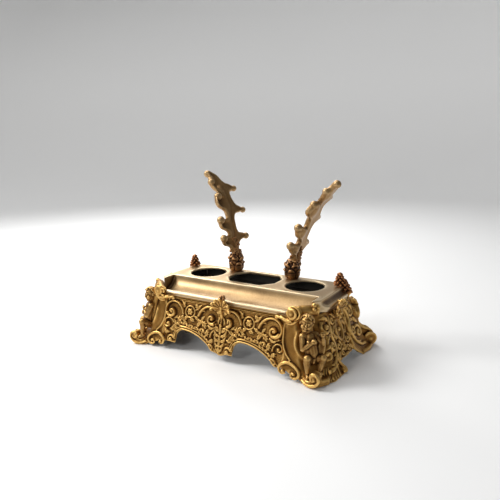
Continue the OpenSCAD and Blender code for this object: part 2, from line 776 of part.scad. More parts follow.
module crest_rivets() {
    color(gold) for (side = [-1:1]) at_crest(side)
        translate([0, crest_gap + crest_seat, crest_rivet_z]) rotate([90, 0, 0]) {
            translate([0, 0, -1.5]) cylinder(h = 1.5, r = 2.6);
            cylinder(h = crest_gap + crest_seat + 2.5, d = rivet_d);
        }
}

// ---- pen rests ----

socket_bore = 8;
module rest_socket() {
    difference() {
        union() {
            rotate_extrude() polygon([[0, 0], [8.3, 0], [8.6, 2.4], [7.6, 4.6], [9.4, 8],
                [10.6, 12], [10.2, 16.5], [8.6, 20], [7.8, 24], [6.8, socket_h], [0, socket_h]]);
            for (k = [0:4]) {
                rotate([0, 0, 72 * k]) translate([8.2, 0, 13]) sphere(3.6, $fn = 32);
                rotate([0, 0, 72 * k + 36]) translate([7.4, 0, 19.6]) sphere(3, $fn = 32);
                rotate([0, 0, 72 * k + 36]) translate([6.6, 0, 5.6]) sphere(2.4, $fn = 32);
            }
        }
        translate([0, 0, -1]) cylinder(h = socket_h + 2, d = stud_d + 0.3);
        translate([0, 0, socket_h - 9]) cylinder(h = 10, d = socket_bore + 0.3);
    }
}
module at_rest(side) {
    translate([side * rest_x, rest_y, stand_h]) mirror([side < 0 ? 1 : 0, 0, 0]) children();
}
module rest_socket_left() { color(dark_bronze) at_rest(-1) rest_socket(); }
module rest_socket_right() { color(dark_bronze) at_rest(1) rest_socket(); }

// Path: height and outward reach. Stem and lobes: sideways, height and radius
arm_path = [[22, 0], [36, 2], [53, 6], [70, 10.7], [87, 15.7], [103, 22.3], [118, 31.2],
    [129, 40.4], [140, 50.5]];
arm_stem = [[0, 22, 8], [-1, 36, 9], [1.5, 52, 9.5], [1.2, 66, 8], [3.5, 80, 7.5], [6.5, 91, 10],
    [5.5, 106, 8], [4.5, 117, 8], [1, 129, 6], [-5.4, 138, 4.4]];
arm_lobes = [
    [[-5, 43, 7], [-15, 45, 5], [-21, 48.5, 3.8]],
    [[-4, 65, 7], [-14, 69, 6], [-19.3, 72.6, 4.3]],
    [[2, 94, 9], [-8.6, 98, 7.4], [-8.6, 104.5, 4]],
    [[2, 118, 6], [-3, 120.5, 5], [-7.6, 123, 3.4]],
    [[7, 47, 6.5], [15, 47.4, 4.8], [22, 46.4, 4.4]],
    [[10, 85, 7.5], [20, 83, 4], [29.3, 81, 3.5]],
    [[8, 113, 6], [18, 113.6, 4], [27.2, 112.6, 3.7]],
];
arm_skew = 11;
arm_scale = rest_tip / 143;
module arm_outline() {
    offset(r = -2, $fn = 20) offset(r = 2, $fn = 20) for (line = concat([arm_stem], arm_lobes))
        for (k = [0:len(line) - 2]) hull() for (q = [line[k], line[k + 1]])
            translate([q[0], q[1] * arm_scale]) circle(q[2], $fn = 20);
}
module arm_band() {
    for (k = [0:len(arm_path) - 2]) hull() for (q = [arm_path[k], arm_path[k + 1]])
        translate([q[1], q[0] * arm_scale]) circle(arm_t / 2, $fn = 12);
}
// A flat leaf with rolled lobes: its outline cut from a band that curves outward
module arm_leaf() {
    rotate([0, 0, arm_skew]) {
        intersection() {
            rotate([90, 0, 90]) translate([0, 0, -20]) linear_extrude(90) arm_outline();
            rotate([90, 0, 0]) translate([0, 0, -50]) linear_extrude(100) arm_band();
        }
        for (line = arm_lobes) translate([lookup(line[2][1], arm_path), line[2][0],
            line[2][1] * arm_scale]) sphere(line[2][2] * 0.9, $fn = 12);
        translate([50, -5.6, 138.5 * arm_scale]) sphere(4.4, $fn = 16);
    }
}
module rest_arm(turn, lean) {
    rotate([0, lean, 0]) rotate([0, 0, turn]) arm_leaf();
    translate([0, 0, socket_h - 7]) cylinder(h = 8, d = socket_bore);
    translate([0, 0, -plate_t - 7]) cylinder(h = socket_h + 3, d = stud_d);
}
module arm_room() {
    difference() {
        translate([-20, -20, socket_h - 40]) cube([40, 40, 40 + joint_gap]);
        translate([0, 0, socket_h - 7]) cylinder(h = 10, d = socket_bore + 0.02);
        translate([0, 0, -50]) cylinder(h = 80, d = stud_d + 0.02);
    }
}
module rest_whole(turn, lean) {
    difference() {
        rest_arm(turn, lean);
        arm_room();
    }
}
// The right arm stands turned a little and leans out further
right_turn = -13;
right_lean = 8;
module rest_arm_left() { color(pale_gold) at_rest(-1) rest_whole(0, 0); }
module rest_arm_right() { color(pale_gold) at_rest(1) rest_whole(right_turn, right_lean); }

module rest_washers() {
    color(steel) for (s = [-1, 1])
        translate([s * rest_x, rest_y, stand_h - plate_t - 1]) difference() {
            cylinder(h = 1, r = 4.5);
            translate([0, 0, -1]) cylinder(h = 3, d = stud_d + 0.3);
        }
}
module rest_nuts() {
    color(steel) for (s = [-1, 1]) translate([s * rest_x, rest_y, stand_h - plate_t - 1 - nut_h])
        hex_nut(nut_h, stud_d + 0.1);
}

// ---- berry finials on the back corners ----

module berries(h, r) {
    cylinder(h = h - r * 0.5, r1 = r, r2 = r * 0.4);
    for (k = [0:2], a = [0:72:288]) rotate([0, 0, a + 36 * k])
        translate([r * (1.05 - 0.28 * k), 0, h * (0.2 + 0.25 * k)]) sphere(r * 0.5, $fn = 24);
    translate([0, 0, h - r * 0.45]) sphere(r * 0.45, $fn = 24);
}
module finial() {
    translate([finial_x, finial_y, stand_h]) {
        translate([0, 0, -8.5]) cylinder(h = 10, d = stud_d);
        cylinder(h = 1.6, r = 4.4);
        berries(finial_h, 4.2);
        translate([5.7, 4.9, 1.2]) berries(finial_h * 0.64, 3);
        translate([3, 2.6, 2.4]) sphere(2.2, $fn = 24);
        translate([8.6, 8.2, 3.2]) sphere(2.4, $fn = 24);
        translate([7.2, 6.6, 2.6]) sphere(2.4, $fn = 24);
        translate([10.6, 10.4, 1]) sphere(2.2, $fn = 24);
    }
}
module finial_right() { color(dark_bronze) finial(); }
module finial_left() { color(dark_bronze) mirror([1, 0, 0]) finial(); }

// ---- screws ----

module panel_screw() {
    head_z = -flange_t - joint_gap;
    translate([0, 0, head_z - screw_head_h]) difference() {
        cylinder(h = screw_head_h, d = screw_head_d);
        translate([-5, -0.4, -1]) cube([10, 0.8, 1.8]);
    }
    translate([0, 0, head_z]) cylinder(h = flange_t + joint_gap + screw_bite - 0.4, d = screw_d);
}
module panel_screws() {
    color(steel) {
        on_front() screw_points(panel_half_l) panel_screw();
        on_back() screw_points(panel_half_l) panel_screw();
        on_left() screw_points(side_half_l) panel_screw();
        on_right() screw_points(side_half_l) panel_screw();
    }
}
module plate_screws() {
    color(steel) for (s = [-1, 1], p = [[plate_screw_x, -plate_screw_y],
        [plate_screw_back_x, plate_screw_back_y]])
        translate([s * p[0], p[1], rim_z - shelf_h]) {
            translate([0, 0, -screw_head_h]) difference() {
                cylinder(h = screw_head_h, d = screw_head_d);
                translate([-5, -0.4, -1]) cube([10, 0.8, 1.8]);
            }
            cylinder(h = shelf_h + 7, d = screw_d);
        }
}

top_plate();
front_panel();
back_panel();
left_panel();
right_panel();
leg_front_left();
leg_front_right();
leg_back_left();
leg_back_right();
putto_left();
putto_right();
putto_nuts();
crest_front();
crest_left();
crest_right();
crest_rivets();
rest_arm_left();
rest_arm_right();
rest_socket_left();
rest_socket_right();
rest_washers();
rest_nuts();
finial_left();
finial_right();
panel_screws();
plate_screws();
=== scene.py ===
import math
import bpy
import numpy as np
from mathutils import Matrix, Vector


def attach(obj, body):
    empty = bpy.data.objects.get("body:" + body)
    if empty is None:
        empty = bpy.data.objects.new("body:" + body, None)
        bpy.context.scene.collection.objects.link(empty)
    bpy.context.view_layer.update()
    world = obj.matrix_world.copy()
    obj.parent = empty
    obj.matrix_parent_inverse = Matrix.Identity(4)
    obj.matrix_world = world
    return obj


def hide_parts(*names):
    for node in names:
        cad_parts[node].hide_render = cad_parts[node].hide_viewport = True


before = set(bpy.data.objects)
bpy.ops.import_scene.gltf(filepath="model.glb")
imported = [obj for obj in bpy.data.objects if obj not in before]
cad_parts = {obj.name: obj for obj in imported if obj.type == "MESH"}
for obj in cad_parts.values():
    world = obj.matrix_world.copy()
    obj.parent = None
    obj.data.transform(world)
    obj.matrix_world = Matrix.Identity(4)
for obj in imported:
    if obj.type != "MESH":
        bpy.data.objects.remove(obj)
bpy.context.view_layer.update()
rng = np.random.default_rng(11)
mm = 0.001

# camera first: spot, lens and width of the picture in mm, angles in degrees
cameraSettings = {"spot": (367.6, -560.15, 274.4), "azimuth": 32.84, "elevation": 12.37,
                  "roll": -1.5, "lens": 37.97, "frameWide": 36}


def setCamera(settings):
    azimuth, elevation, roll = (math.radians(settings[k]) for k in ("azimuth", "elevation", "roll"))
    back = Vector((math.sin(azimuth) * math.cos(elevation),
                   -math.cos(azimuth) * math.cos(elevation), math.sin(elevation)))
    right = Vector((math.cos(azimuth), math.sin(azimuth), 0))
    up = back.cross(right)
    tilted = right * math.cos(roll) + up * math.sin(roll)
    upright = up * math.cos(roll) - right * math.sin(roll)
    turn = Matrix((tilted, upright, back)).transposed()
    data = bpy.data.cameras.new("camera")
    data.lens = settings["lens"]
    data.sensor_width = settings["frameWide"]
    data.clip_end = 20
    camera = bpy.data.objects.new("camera", data)
    camera.matrix_world = Matrix.Translation(Vector(settings["spot"]) * mm) @ turn.to_4x4()
    bpy.context.collection.objects.link(camera)
    bpy.context.scene.camera = camera


setCamera(cameraSettings)

# a pale floor, a wall behind the object and four soft lamps: name, place in metres, size, power
studio = {"floor": (0.93, 0.93, 0.925), "floorRough": 0.7, "floorRadius": 1.6, "cove": 0.5, "sides": 96,
          "wallHeight": 1.6, "wallFrom": 60, "wallTo": 190, "world": 0.17, "lampAim": (0, 0, 0.05),
          "lamps": (("key", (-1.0, -0.45, 0.95), 0.5, 13.5), ("top", (-0.55, 0.15, 1.5), 1.1, 11.6),
                    ("front", (-0.1, -1.3, 0.8), 0.5, 3.4), ("rear", (-0.7, 0.7, 0.8), 0.5, 5))}


def areaLight(name, spot, size, power):
    data = bpy.data.lights.new(name, "AREA")
    data.shape = "DISK"
    data.size = size
    data.energy = power
    lamp = bpy.data.objects.new(name, data)
    lamp.location = spot
    lamp.rotation_euler = (Vector(studio["lampAim"]) - Vector(spot)).to_track_quat("-Z", "Y").to_euler()
    bpy.context.collection.objects.link(lamp)


def plainMaterial(name, color, roughness):
    material = bpy.data.materials.new(name)
    material.use_nodes = True
    shader = material.node_tree.nodes["Principled BSDF"]
    shader.inputs["Base Color"].default_value = (*color, 1)
    shader.inputs["Roughness"].default_value = roughness
    return material


def makeStudio(settings):
    radius, cove, sides = settings["floorRadius"], settings["cove"], settings["sides"]
    rings = [(radius, 0)]
    rings += [(radius + cove * math.sin(a), cove - cove * math.cos(a))
              for a in np.linspace(0, math.pi / 2, 12)[1:]]
    rings += [(radius + cove, settings["wallHeight"])]
    verts, faces = [(0, 0, 0)], []
    for reach, height in rings:
        for k in range(sides):
            angle = 2 * math.pi * k / sides
            verts.append((reach * math.cos(angle), reach * math.sin(angle), height))
    for k in range(sides):
        faces.append((0, 1 + k, 1 + (k + 1) % sides))
    # the wall stands behind the object only, so the rest stays dark in reflections
    for row in range(len(rings) - 1):
        for k in range(sides):
            if settings["wallFrom"] <= 360 * k / sides <= settings["wallTo"]:
                a, b = 1 + row * sides + k, 1 + row * sides + (k + 1) % sides
                faces.append((a, a + sides, b + sides, b))
    mesh = bpy.data.meshes.new("floor")
    mesh.from_pydata(verts, [], faces)
    mesh.shade_smooth()
    floor = bpy.data.objects.new("floor", mesh)
    floor.data.materials.append(plainMaterial("paleFloor", settings["floor"], settings["floorRough"]))
    bpy.context.collection.objects.link(floor)
    for lamp in settings["lamps"]:
        areaLight(*lamp)
    world = bpy.data.worlds.new("studio")
    world.use_nodes = True
    background = world.node_tree.nodes["Background"]
    background.inputs["Color"].default_value = (1, 1, 1, 1)
    background.inputs["Strength"].default_value = settings["world"]
    bpy.context.scene.world = world
    bpy.context.scene.view_settings.view_transform = "Standard"


makeStudio(studio)
print("camera and studio ready")

# what all finishes share: scale and detail of their clouds and grain, and how far each one sways them
surface = {"clouds": (45, 4), "grain": 900, "grainDetail": 3, "cloudSway": 0.5, "grainSway": 0.25,
           "hollowAt": 0.08, "wornAt": 0.92, "rough": 0.42, "roughSway": 0.2, "bump": 0.12,
           "bumpDepth": 0.0006, "metal": 0.8, "coat": 0.0, "coatRough": 0.3}
# colours in hollows, on the ground and on worn ridges, then what differs from the rest; the hollow colour is
# patina, deepened as painted shade in broad recesses
finishes = {
    "gilt": {"hollow": (0.058, 0.024, 0.005), "body": (0.335, 0.161, 0.034), "worn": (0.78, 0.488, 0.155),
             "rough": 0.40, "metal": 0.88},
    # the children's gilt: the gilt made darker as painted shade
    "shadedChildGilt": {"hollow": (0.026, 0.010, 0.002), "body": (0.20, 0.092, 0.022), "worn": (0.62, 0.38, 0.13),
                  "rough": 0.40, "metal": 0.86},
    "plateGilt": {"hollow": (0.12, 0.06, 0.018), "body": (0.42, 0.275, 0.125), "worn": (0.65, 0.50, 0.30),
                  "grain": 500, "bump": 0.05, "metal": 0.94, "coat": 0.35},
    "paleGilt": {"hollow": (0.045, 0.019, 0.006), "body": (0.33, 0.19, 0.075), "worn": (0.56, 0.39, 0.20),
                 "grain": 700, "bump": 0.08, "metal": 0.82},
    "darkBronze": {"hollow": (0.008, 0.003, 0.001), "body": (0.085, 0.032, 0.012),
                   "worn": (0.42, 0.22, 0.09)},
    "redBronze": {"hollow": (0.012, 0.003, 0.001), "body": (0.12, 0.036, 0.012), "worn": (0.40, 0.17, 0.06),
                  "metal": 0.75},
    # inside: a near-black finish for inner faces, painted shade where the body lies unlit
    "paintedShadeInside": {"hollow": (0.010, 0.009, 0.006), "body": (0.016, 0.014, 0.009), "worn": (0.028, 0.024, 0.016),
               "rough": 0.8, "grain": 700, "bump": 0.1, "metal": 0.3},
    "iron": {"hollow": (0.05, 0.04, 0.035), "body": (0.2, 0.18, 0.16), "worn": (0.4, 0.38, 0.36),
             "rough": 0.55, "bump": 0.08, "metal": 0.9},
}


def castMetal(name, look):
    material = bpy.data.materials.new(name)
    material.use_nodes = True
    tree = material.node_tree
    shader = tree.nodes["Principled BSDF"]
    place = tree.nodes.new("ShaderNodeTexCoord")

    def noise(scale, detail):
        node = tree.nodes.new("ShaderNodeTexNoise")
        node.inputs["Scale"].default_value = scale
        node.inputs["Detail"].default_value = detail
        tree.links.new(place.outputs["Object"], node.inputs["Vector"])
        return node.outputs["Fac"]

    def combine(kind, a, b):
        node = tree.nodes.new("ShaderNodeMath")
        node.operation = kind
        for socket, value in zip(node.inputs, (a, b)):
            if isinstance(value, (int, float)):
                socket.default_value = value
            else:
                tree.links.new(value, socket)
        return node.outputs[0]

    def sway(value, share):
        return combine("MULTIPLY", combine("SUBTRACT", value, 0.5), share)

    relief = tree.nodes.new("ShaderNodeAttribute")
    relief.attribute_name = "relief"
    clouds, grain = noise(*look["clouds"]), noise(look["grain"], look["grainDetail"])
    level = combine("ADD", relief.outputs["Fac"], sway(clouds, look["cloudSway"]))
    level = combine("ADD", level, sway(grain, look["grainSway"]))
    # the ramp runs from the hollow colour, patina with painted shade, through the body colour to the worn
    # ridges
    ramp = tree.nodes.new("ShaderNodeValToRGB")
    stops = ramp.color_ramp.elements
    stops[0].position, stops[0].color = look["hollowAt"], (*look["hollow"], 1)
    stops[1].position, stops[1].color = look["wornAt"], (*look["worn"], 1)
    middle = stops.new(0.5)
    middle.color = (*look["body"], 1)
    tree.links.new(combine("ADD", level, 0.5), ramp.inputs["Fac"])
    tree.links.new(ramp.outputs["Color"], shader.inputs["Base Color"])
    rough = combine("ADD", look["rough"] - 0.1, combine("MULTIPLY", clouds, look["roughSway"]))
    tree.links.new(rough, shader.inputs["Roughness"])
    for socket, key in (("Metallic", "metal"), ("Coat Weight", "coat"), ("Coat Roughness", "coatRough")):
        shader.inputs[socket].default_value = look[key]
    bump = tree.nodes.new("ShaderNodeBump")
    bump.inputs["Strength"].default_value = look["bump"]
    bump.inputs["Distance"].default_value = look["bumpDepth"]
    tree.links.new(grain, bump.inputs["Height"])
    tree.links.new(bump.outputs["Normal"], shader.inputs["Normal"])
    return material


metal = {name: castMetal(name, {**surface, **look}) for name, look in finishes.items()}
print("finishes ready")


def smoothPath(points, steps=6):
    # Catmull-Rom curve through the points
    p = np.array(points, float)
    p = np.vstack([2 * p[0] - p[1], p, 2 * p[-1] - p[-2]])
    out = []
    for k in range(1, len(p) - 2):
        for t in np.linspace(0, 1, steps, endpoint=False):
            a, b, c, d = p[k - 1:k + 3]
            out.append(0.5 * (2 * b + (c - a) * t + (2 * a - 5 * b + 4 * c - d) * t ** 2
                              + (3 * b - a - 3 * c + d) * t ** 3))
    out.append(p[-2])
    return np.array(out)


def tube(path, radii, sides=10, flat=1.0, normal=None):
    # gives a shape, which is its points in millimetres and its faces; radii are spread along the path
    path, radii = np.array(path, float), np.atleast_1d(radii)
    count = len(path)
    radii = np.interp(np.linspace(0, 1, count), np.linspace(0, 1, len(radii)), radii)
    along = np.gradient(path, axis=0)
    along /= np.linalg.norm(along, axis=1)[:, None] + 1e-9
    up = np.array((0.3, 0.2, 0.93) if normal is None else normal, float)
    points, faces = [], []
    for k in range(count):
        across = np.cross(along[k], up)
        across /= np.linalg.norm(across) + 1e-9
        upHere = np.cross(across, along[k])
        if normal is None:
            up = upHere
        for a in np.linspace(0, 2 * math.pi, sides, endpoint=False):
            points.append(path[k] + radii[k] * (math.cos(a) * across + flat * math.sin(a) * upHere))
    for k in range(count - 1):
        for s in range(sides):
            a, b = k * sides + s, k * sides + (s + 1) % sides
            faces.append((a, b, b + sides, a + sides))
    points += [path[0], path[-1]]
    first, last = count * sides, count * sides + 1
    for s in range(sides):
        faces.append((first, (s + 1) % sides, s))
        faces.append((last, (count - 1) * sides + s, (count - 1) * sides + (s + 1) % sides))
    return np.array(points), faces


def ball(centre, radius, squash=(1, 1, 1), turn=None, rows=8):
    points, faces, n = [(0, 0, 1)], [], 2 * rows
    for i in range(1, rows):
        for j in range(n):
            a, b = math.pi * i / rows, math.pi * j / rows
            points.append((math.sin(a) * math.cos(b), math.sin(a) * math.sin(b), math.cos(a)))
    points.append((0, 0, -1))
    for j in range(n):
        faces.append((0, 1 + j, 1 + (j + 1) % n))
        faces.append((len(points) - 1, 1 + (rows - 2) * n + (j + 1) % n, 1 + (rows - 2) * n + j))
    for i in range(rows - 2):
        for j in range(n):
            a, b = 1 + i * n + j, 1 + i * n + (j + 1) % n
            faces.append((a, a + n, b + n, b))
    points = np.array(points) * np.array(squash) * radius
    if turn is not None:
        points = points @ np.array(turn.to_3x3()).T
    return points + np.array(centre), faces


def bone(a, ra, b, rb, sides=12):
    path = [np.array(a) + (np.array(b) - np.array(a)) * t for t in (0, 0.5, 1)]
    return [tube(path, [ra, (ra + rb) / 2, rb], sides), ball(a, ra), ball(b, rb)]


def spiral(eye, reach, hand, start, sweep, decay):
    # starts at reach from its eye and rolls inward, a step each 12 degrees
    angles = np.arange(0, sweep + 1, 12)
    radii = reach * np.exp(-decay * angles)
    turn = np.radians(start + angles)
    return np.stack([eye[0] + hand * radii * np.cos(turn), eye[1] + radii * np.sin(turn)], axis=1)


def arc(centre, radius, angles):
    return np.array(centre) + radius * np.stack([np.cos(angles), np.sin(angles)], axis=1)


def fetch(items, what, width=3, kind=float):
    values = np.empty(len(items) * width, dtype=kind)
    items.foreach_get(what, values)
    return values.reshape(-1, width)


def shapeOf(mesh):
    return fetch(mesh.vertices, "co") / mm, [tuple(p.vertices) for p in mesh.polygons]


def cadShape(node):
    return shapeOf(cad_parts[node].data)


def turned(shapes, signs):
    # sends shapes drawn at the front right to another corner or side
    if signs[0] * signs[1] < 0:
        shapes = [(p, [tuple(reversed(f)) for f in faces]) for p, faces in shapes]
    return [(np.array(p) * np.array([signs[0], signs[1], 1]), faces) for p, faces in shapes]


def moved(shapes, shift):
    return [(points + shift, faces) for points, faces in shapes]


def joinShapes(shapes):
    points, faces, base = [], [], 0
    for p, f in shapes:
        points.append(np.asarray(p))
        faces += [tuple(i + base for i in face) for face in f]
        base += len(p)
    return np.vstack(points), faces


def makeObject(name, shapes):
    points, faces = joinShapes(shapes)
    mesh = bpy.data.meshes.new(name)
    mesh.from_pydata((points * mm).tolist(), [], faces)
    mesh.validate()
    mesh.update()
    thing = bpy.data.objects.new(name, mesh)
    bpy.context.collection.objects.link(thing)
    return thing


def fuse(thing, voxel):
    # makes one skin of the shapes that overlap
    remesh = thing.modifiers.new("fuse", "REMESH")
    remesh.mode = "VOXEL"
    remesh.voxel_size = voxel * mm
    bpy.context.view_layer.update()
    solid = thing.evaluated_get(bpy.context.evaluated_depsgraph_get())
    mesh = bpy.data.meshes.new_from_object(solid)
    old = thing.data
    thing.modifiers.clear()
    thing.data = mesh
    bpy.data.meshes.remove(old)


def movePoints(mesh, points):
    mesh.vertices.foreach_set("co", points.ravel())
    mesh.update()


def averaged(values, edges, count, rounds):
    degree = np.bincount(edges.ravel(), minlength=count)[:, None] + 1e-9
    for _ in range(rounds):
        total = np.zeros_like(values)
        for axis in range(values.shape[1]):
            total[:, axis] = np.bincount(edges[:, 0], values[edges[:, 1], axis], count) \
                + np.bincount(edges[:, 1], values[edges[:, 0], axis], count)
        values = 0.4 * values + 0.6 * total / degree
    return values


def soften(thing, rounds, hold=None):
    # hold: how far each vertex, by its place in mm, keeps its own place
    mesh = thing.data
    before = fetch(mesh.vertices, "co")
    points = averaged(before, fetch(mesh.edges, "vertices", 2, np.int64), len(before), rounds)
    if hold is not None:
        share = hold(before / mm)[:, None]
        points = before * share + points * (1 - share)
    movePoints(mesh, points)


def paintRelief(thing, depth=0.5, rounds=8, wide=3.0):
    # ridges come out above 0 and hollows below it, from a narrow and a wide average; the narrow one marks
    # patina in fine hollows, the wide one darkens broad recesses as painted shade
    mesh = thing.data
    points, normals = fetch(mesh.vertices, "co"), fetch(mesh.vertices, "normal")
    edges, count = fetch(mesh.edges, "vertices", 2, np.int64), len(points)
    near = averaged(points, edges, count, rounds)
    far = averaged(near, edges, count, rounds * 5)
    small = ((points - near) * normals).sum(axis=1) / (depth * mm)
    large = ((points - far) * normals).sum(axis=1) / (wide * depth * mm)
    height = np.clip(small, -0.4, 0.4) * 0.7 + np.clip(large, -0.5, 0.5)
    spread = averaged(height[:, None], edges, count, 2)[:, 0]
    layer = mesh.attributes.new("relief", "FLOAT", "POINT")
    layer.data.foreach_set("value", np.clip(spread, -0.6, 0.6).astype(np.float32))


def cast(name, shapes, voxel=0.6, rounds=2, depth=0.5):
    # one skin of the shapes, rounded, with its ridges noted for the finish
    thing = makeObject(name, shapes)
    fuse(thing, voxel)
    soften(thing, rounds)
    if depth:
        paintRelief(thing, depth)
    return thing


def finishPiece(thing, finish, nodes, inner=None):
    # inner: which faces, by centre in mm and normal, get the near-black inside finish, painted shade for the
    # unlit inside of the casting
    thing.data.materials.clear()
    thing.data.materials.append(metal[finish])
    if inner is not None:
        thing.data.materials.append(metal["paintedShadeInside"])
        faces = thing.data.polygons
        shadeFaces = inner(fetch(faces, "center") / mm, fetch(faces, "normal"))
        faces.foreach_set("material_index", shadeFaces.astype(np.int32))
    thing.data.shade_smooth()
    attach(thing, "root")
    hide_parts(*nodes)
    print(thing.name, len(thing.data.polygons), "faces")


# the flared body that panels, corners and plate share, in mm
body = {"rimHeight": 70, "halfLength": 127, "halfDepth": 59, "inset": 3.3, "flare": 18.4, "skirt": 8,
        "ground": 2.5, "wall": 3.0, "longHalf": 89.9, "shortHalf": 21.9, "lowEdge": 10.6,
        "frontCorner": 111, "backCorner": 121, "cornerFlare": 17, "cornerSweep": 16}
tilt = math.atan(body["flare"] / body["rimHeight"])


def upSlope(z):
    # a height, measured along the slope
    return z / math.cos(tilt)


def sweepAt(z):
    # for a height: how far down from the rim it lies, and how far the skirt has curved out
    drop = np.clip(1 - np.asarray(z, float) / body["rimHeight"], 0, 1)
    return drop, 1 - np.sqrt(np.maximum(0, 1 - drop ** 2))


def insideBody(at, margin):
    # true where a point in mm lies inside the flared outline of the four sides and corners
    drop, curve = sweepAt(at[:, 2])
    x, y = np.abs(at[:, 0]), np.abs(at[:, 1])
    front = body["halfDepth"] - body["inset"] + body["flare"] * drop
    side = body["halfLength"] - body["inset"] + body["flare"] * drop + body["skirt"] * curve
    base = np.where(at[:, 1] < 0, body["frontCorner"], body["backCorner"])
    cut = base + body["cornerFlare"] * drop + body["cornerSweep"] * curve
    return (y < front - margin) & (x < side - margin) & ((x + y) / math.sqrt(2) < cut - margin)


plateLook = {"voxel": 0.8, "rounds": 2, "relief": 0.35, "margin": 5, "under": 80, "wells": -14}


def makePlate(look):
    # the cast frame with its edges rounded; its underside and the well walls are painted near-black as
    # painted shade
    def inner(at, out):
        walls = (at[:, 2] < look["under"]) & (at[:, 1] > look["wells"])
        return insideBody(at, look["margin"]) & ((out[:, 2] < -0.3) | walls)

    plate = cast("plateBody", [cadShape("top_plate")], look["voxel"], look["rounds"], look["relief"])
    finishPiece(plate, "plateGilt", ["top_plate"], inner)


makePlate(plateLook)


class Carving:
    # relief h over a flat ground: u along the panel and v up its slope, in mm
    def __init__(self, u, v):
        self.u, self.v = u, v
        self.h = np.zeros_like(u)
        self.lift, self.broad, self.shift = 1.35, 1.0, 0

    def at(self, u, z):
        return u + self.shift, upSlope(z)

    def path(self, *points):
        return smoothPath([self.at(*p) for p in points], 5)

    def distances(self, path, reach):
        # for the ground within reach of a path: how far off it lies, and how far along
        path = np.asarray(path, float)
        near = ((self.u > path[:, 0].min() - reach) & (self.u < path[:, 0].max() + reach)
                & (self.v > path[:, 1].min() - reach) & (self.v < path[:, 1].max() + reach))
        if not near.any():
            return near, np.zeros(0), np.zeros(0)
        p = np.stack([self.u[near], self.v[near]], axis=1)[:, None, :]
        a, b = path[None, :-1], path[None, 1:]
        ab = b - a
        t = np.clip(((p - a) * ab).sum(-1) / ((ab ** 2).sum(-1) + 1e-9), 0, 1)
        d = np.sqrt(((p - (a + ab * t[..., None])) ** 2).sum(-1))
        best = d.argmin(axis=1)
        rows = np.arange(len(best))
        return near, d[rows, best], (best + t[rows, best]) / (len(path) - 1)

    def raiseTo(self, near, height):
        self.h[near] = np.maximum(self.h[near], height * self.lift)

    def wire(self, path, width, height, groove=0.0, taper=1.0):
        width *= self.broad
        near, d, along = self.distances(path, width * 1.5)
        wide = width * (1 - (1 - taper) * along)
        x = np.clip(d / wide, 0, 1)
        self.raiseTo(near, height * np.sqrt(1 - x ** 2) * (1 - groove * np.exp(-(d / (0.3 * wide)) ** 2)))

    def curl(self, eye, reach, hand, start, sweep, width, height, decay=0.004, groove=0.0, taper=1.0):
        self.wire(spiral(self.at(*eye), reach, hand, start, sweep, decay), width, height, groove, taper)

    def leaf(self, points, width, height, lobes=4, vein=0.35):
        width *= self.broad
        near, d, along = self.distances(self.path(*points), width * 1.4)
        belly = np.sin(np.pi * np.clip(along, 0.02, 1) ** 0.7) ** 0.7
        cut = 1 - 0.3 * np.abs(np.sin(np.pi * lobes * along + 0.6 * d / width))
        wide = np.maximum(width * belly * cut, 0.05)
        x = np.clip(d / wide, 0, 1)
        ribs = 1 - vein * np.abs(np.cos(np.pi * lobes * along + 2.2 * d / width)) * x
        self.raiseTo(near, height * (1 - x ** 2) ** 0.6 * ribs * (1 - vein * np.exp(-(d / 0.45) ** 2)))

    def bowl(self, at, radius, depth):
        d = np.hypot(self.u - at[0], self.v - at[1])
        near = d < radius
        self.h[near] = np.minimum(self.h[near], -depth * (1 - (d[near] / radius) ** 2))

    def knob(self, at, radius, height):
        d = np.hypot(self.u - at[0], self.v - at[1])
        near = d < radius
        self.raiseTo(near, height * np.sqrt(1 - (d[near] / radius) ** 2))

    def rosette(self, at, radius, height, petals=6):
        du, dv = self.u - at[0], self.v - at[1]
        d, a = np.hypot(du, dv), np.arctan2(dv, du)
        edge = radius * (0.86 + 0.14 * np.cos(petals * a))
        near = d < edge
        x = (d / edge)[near]
        cup = 0.55 + 0.45 * np.sin(np.pi * x) - 0.3 * (np.abs(np.sin(petals * a[near] / 2)) < 0.25) * x
        self.raiseTo(near, height * cup * np.sqrt(1 - x ** 4))
        self.knob(at, radius * 0.3, height * 1.1)

    def rowOf(self, path, radius, pitch, height):
        path = np.asarray(path, float)
        steps = np.hypot(*np.diff(path, axis=0).T)
        length = np.concatenate([[0], np.cumsum(steps)])
        for s in np.arange(pitch / 2, length[-1], pitch):
            self.knob((np.interp(s, length, path[:, 0]), np.interp(s, length, path[:, 1])), radius, height)

    def stipple(self, height, size=1.9):
        cellU, cellV = np.floor(self.u / size), np.floor(self.v / size)
        shift = np.modf(np.abs(np.sin(cellU * 12.9898 + cellV * 78.233)) * 43758.5453)[0] - 0.5
        d = np.hypot(self.u - (cellU + 0.5 + 0.4 * shift) * size, self.v - (cellV + 0.5 - 0.3 * shift) * size)
        flat = self.h < 0.25
        self.h[flat] = np.maximum(self.h[flat], height * np.clip(1 - d[flat] / (0.6 * size), 0, 1))


def flatFrame(side):
    # x along a side, y up its slope and z out of it
    turn = {"front": 0, "right": 90, "back": 180, "left": -90}[side]
    half = body["halfDepth"] if side in ("front", "back") else body["halfLength"]
    out = half - body["inset"] + body["flare"]
    return (Matrix.Rotation(math.radians(turn), 4, "Z") @ Matrix.Translation((0, -out, 0))
            @ Matrix.Rotation(math.pi / 2 - tilt, 4, "X"))


def placed(points, matrix):
    m = np.array(matrix)
    return points @ m[:3, :3].T + m[:3, 3]


def allPlaced(shapes, matrix):
    return [(placed(points, matrix), faces) for points, faces in shapes]


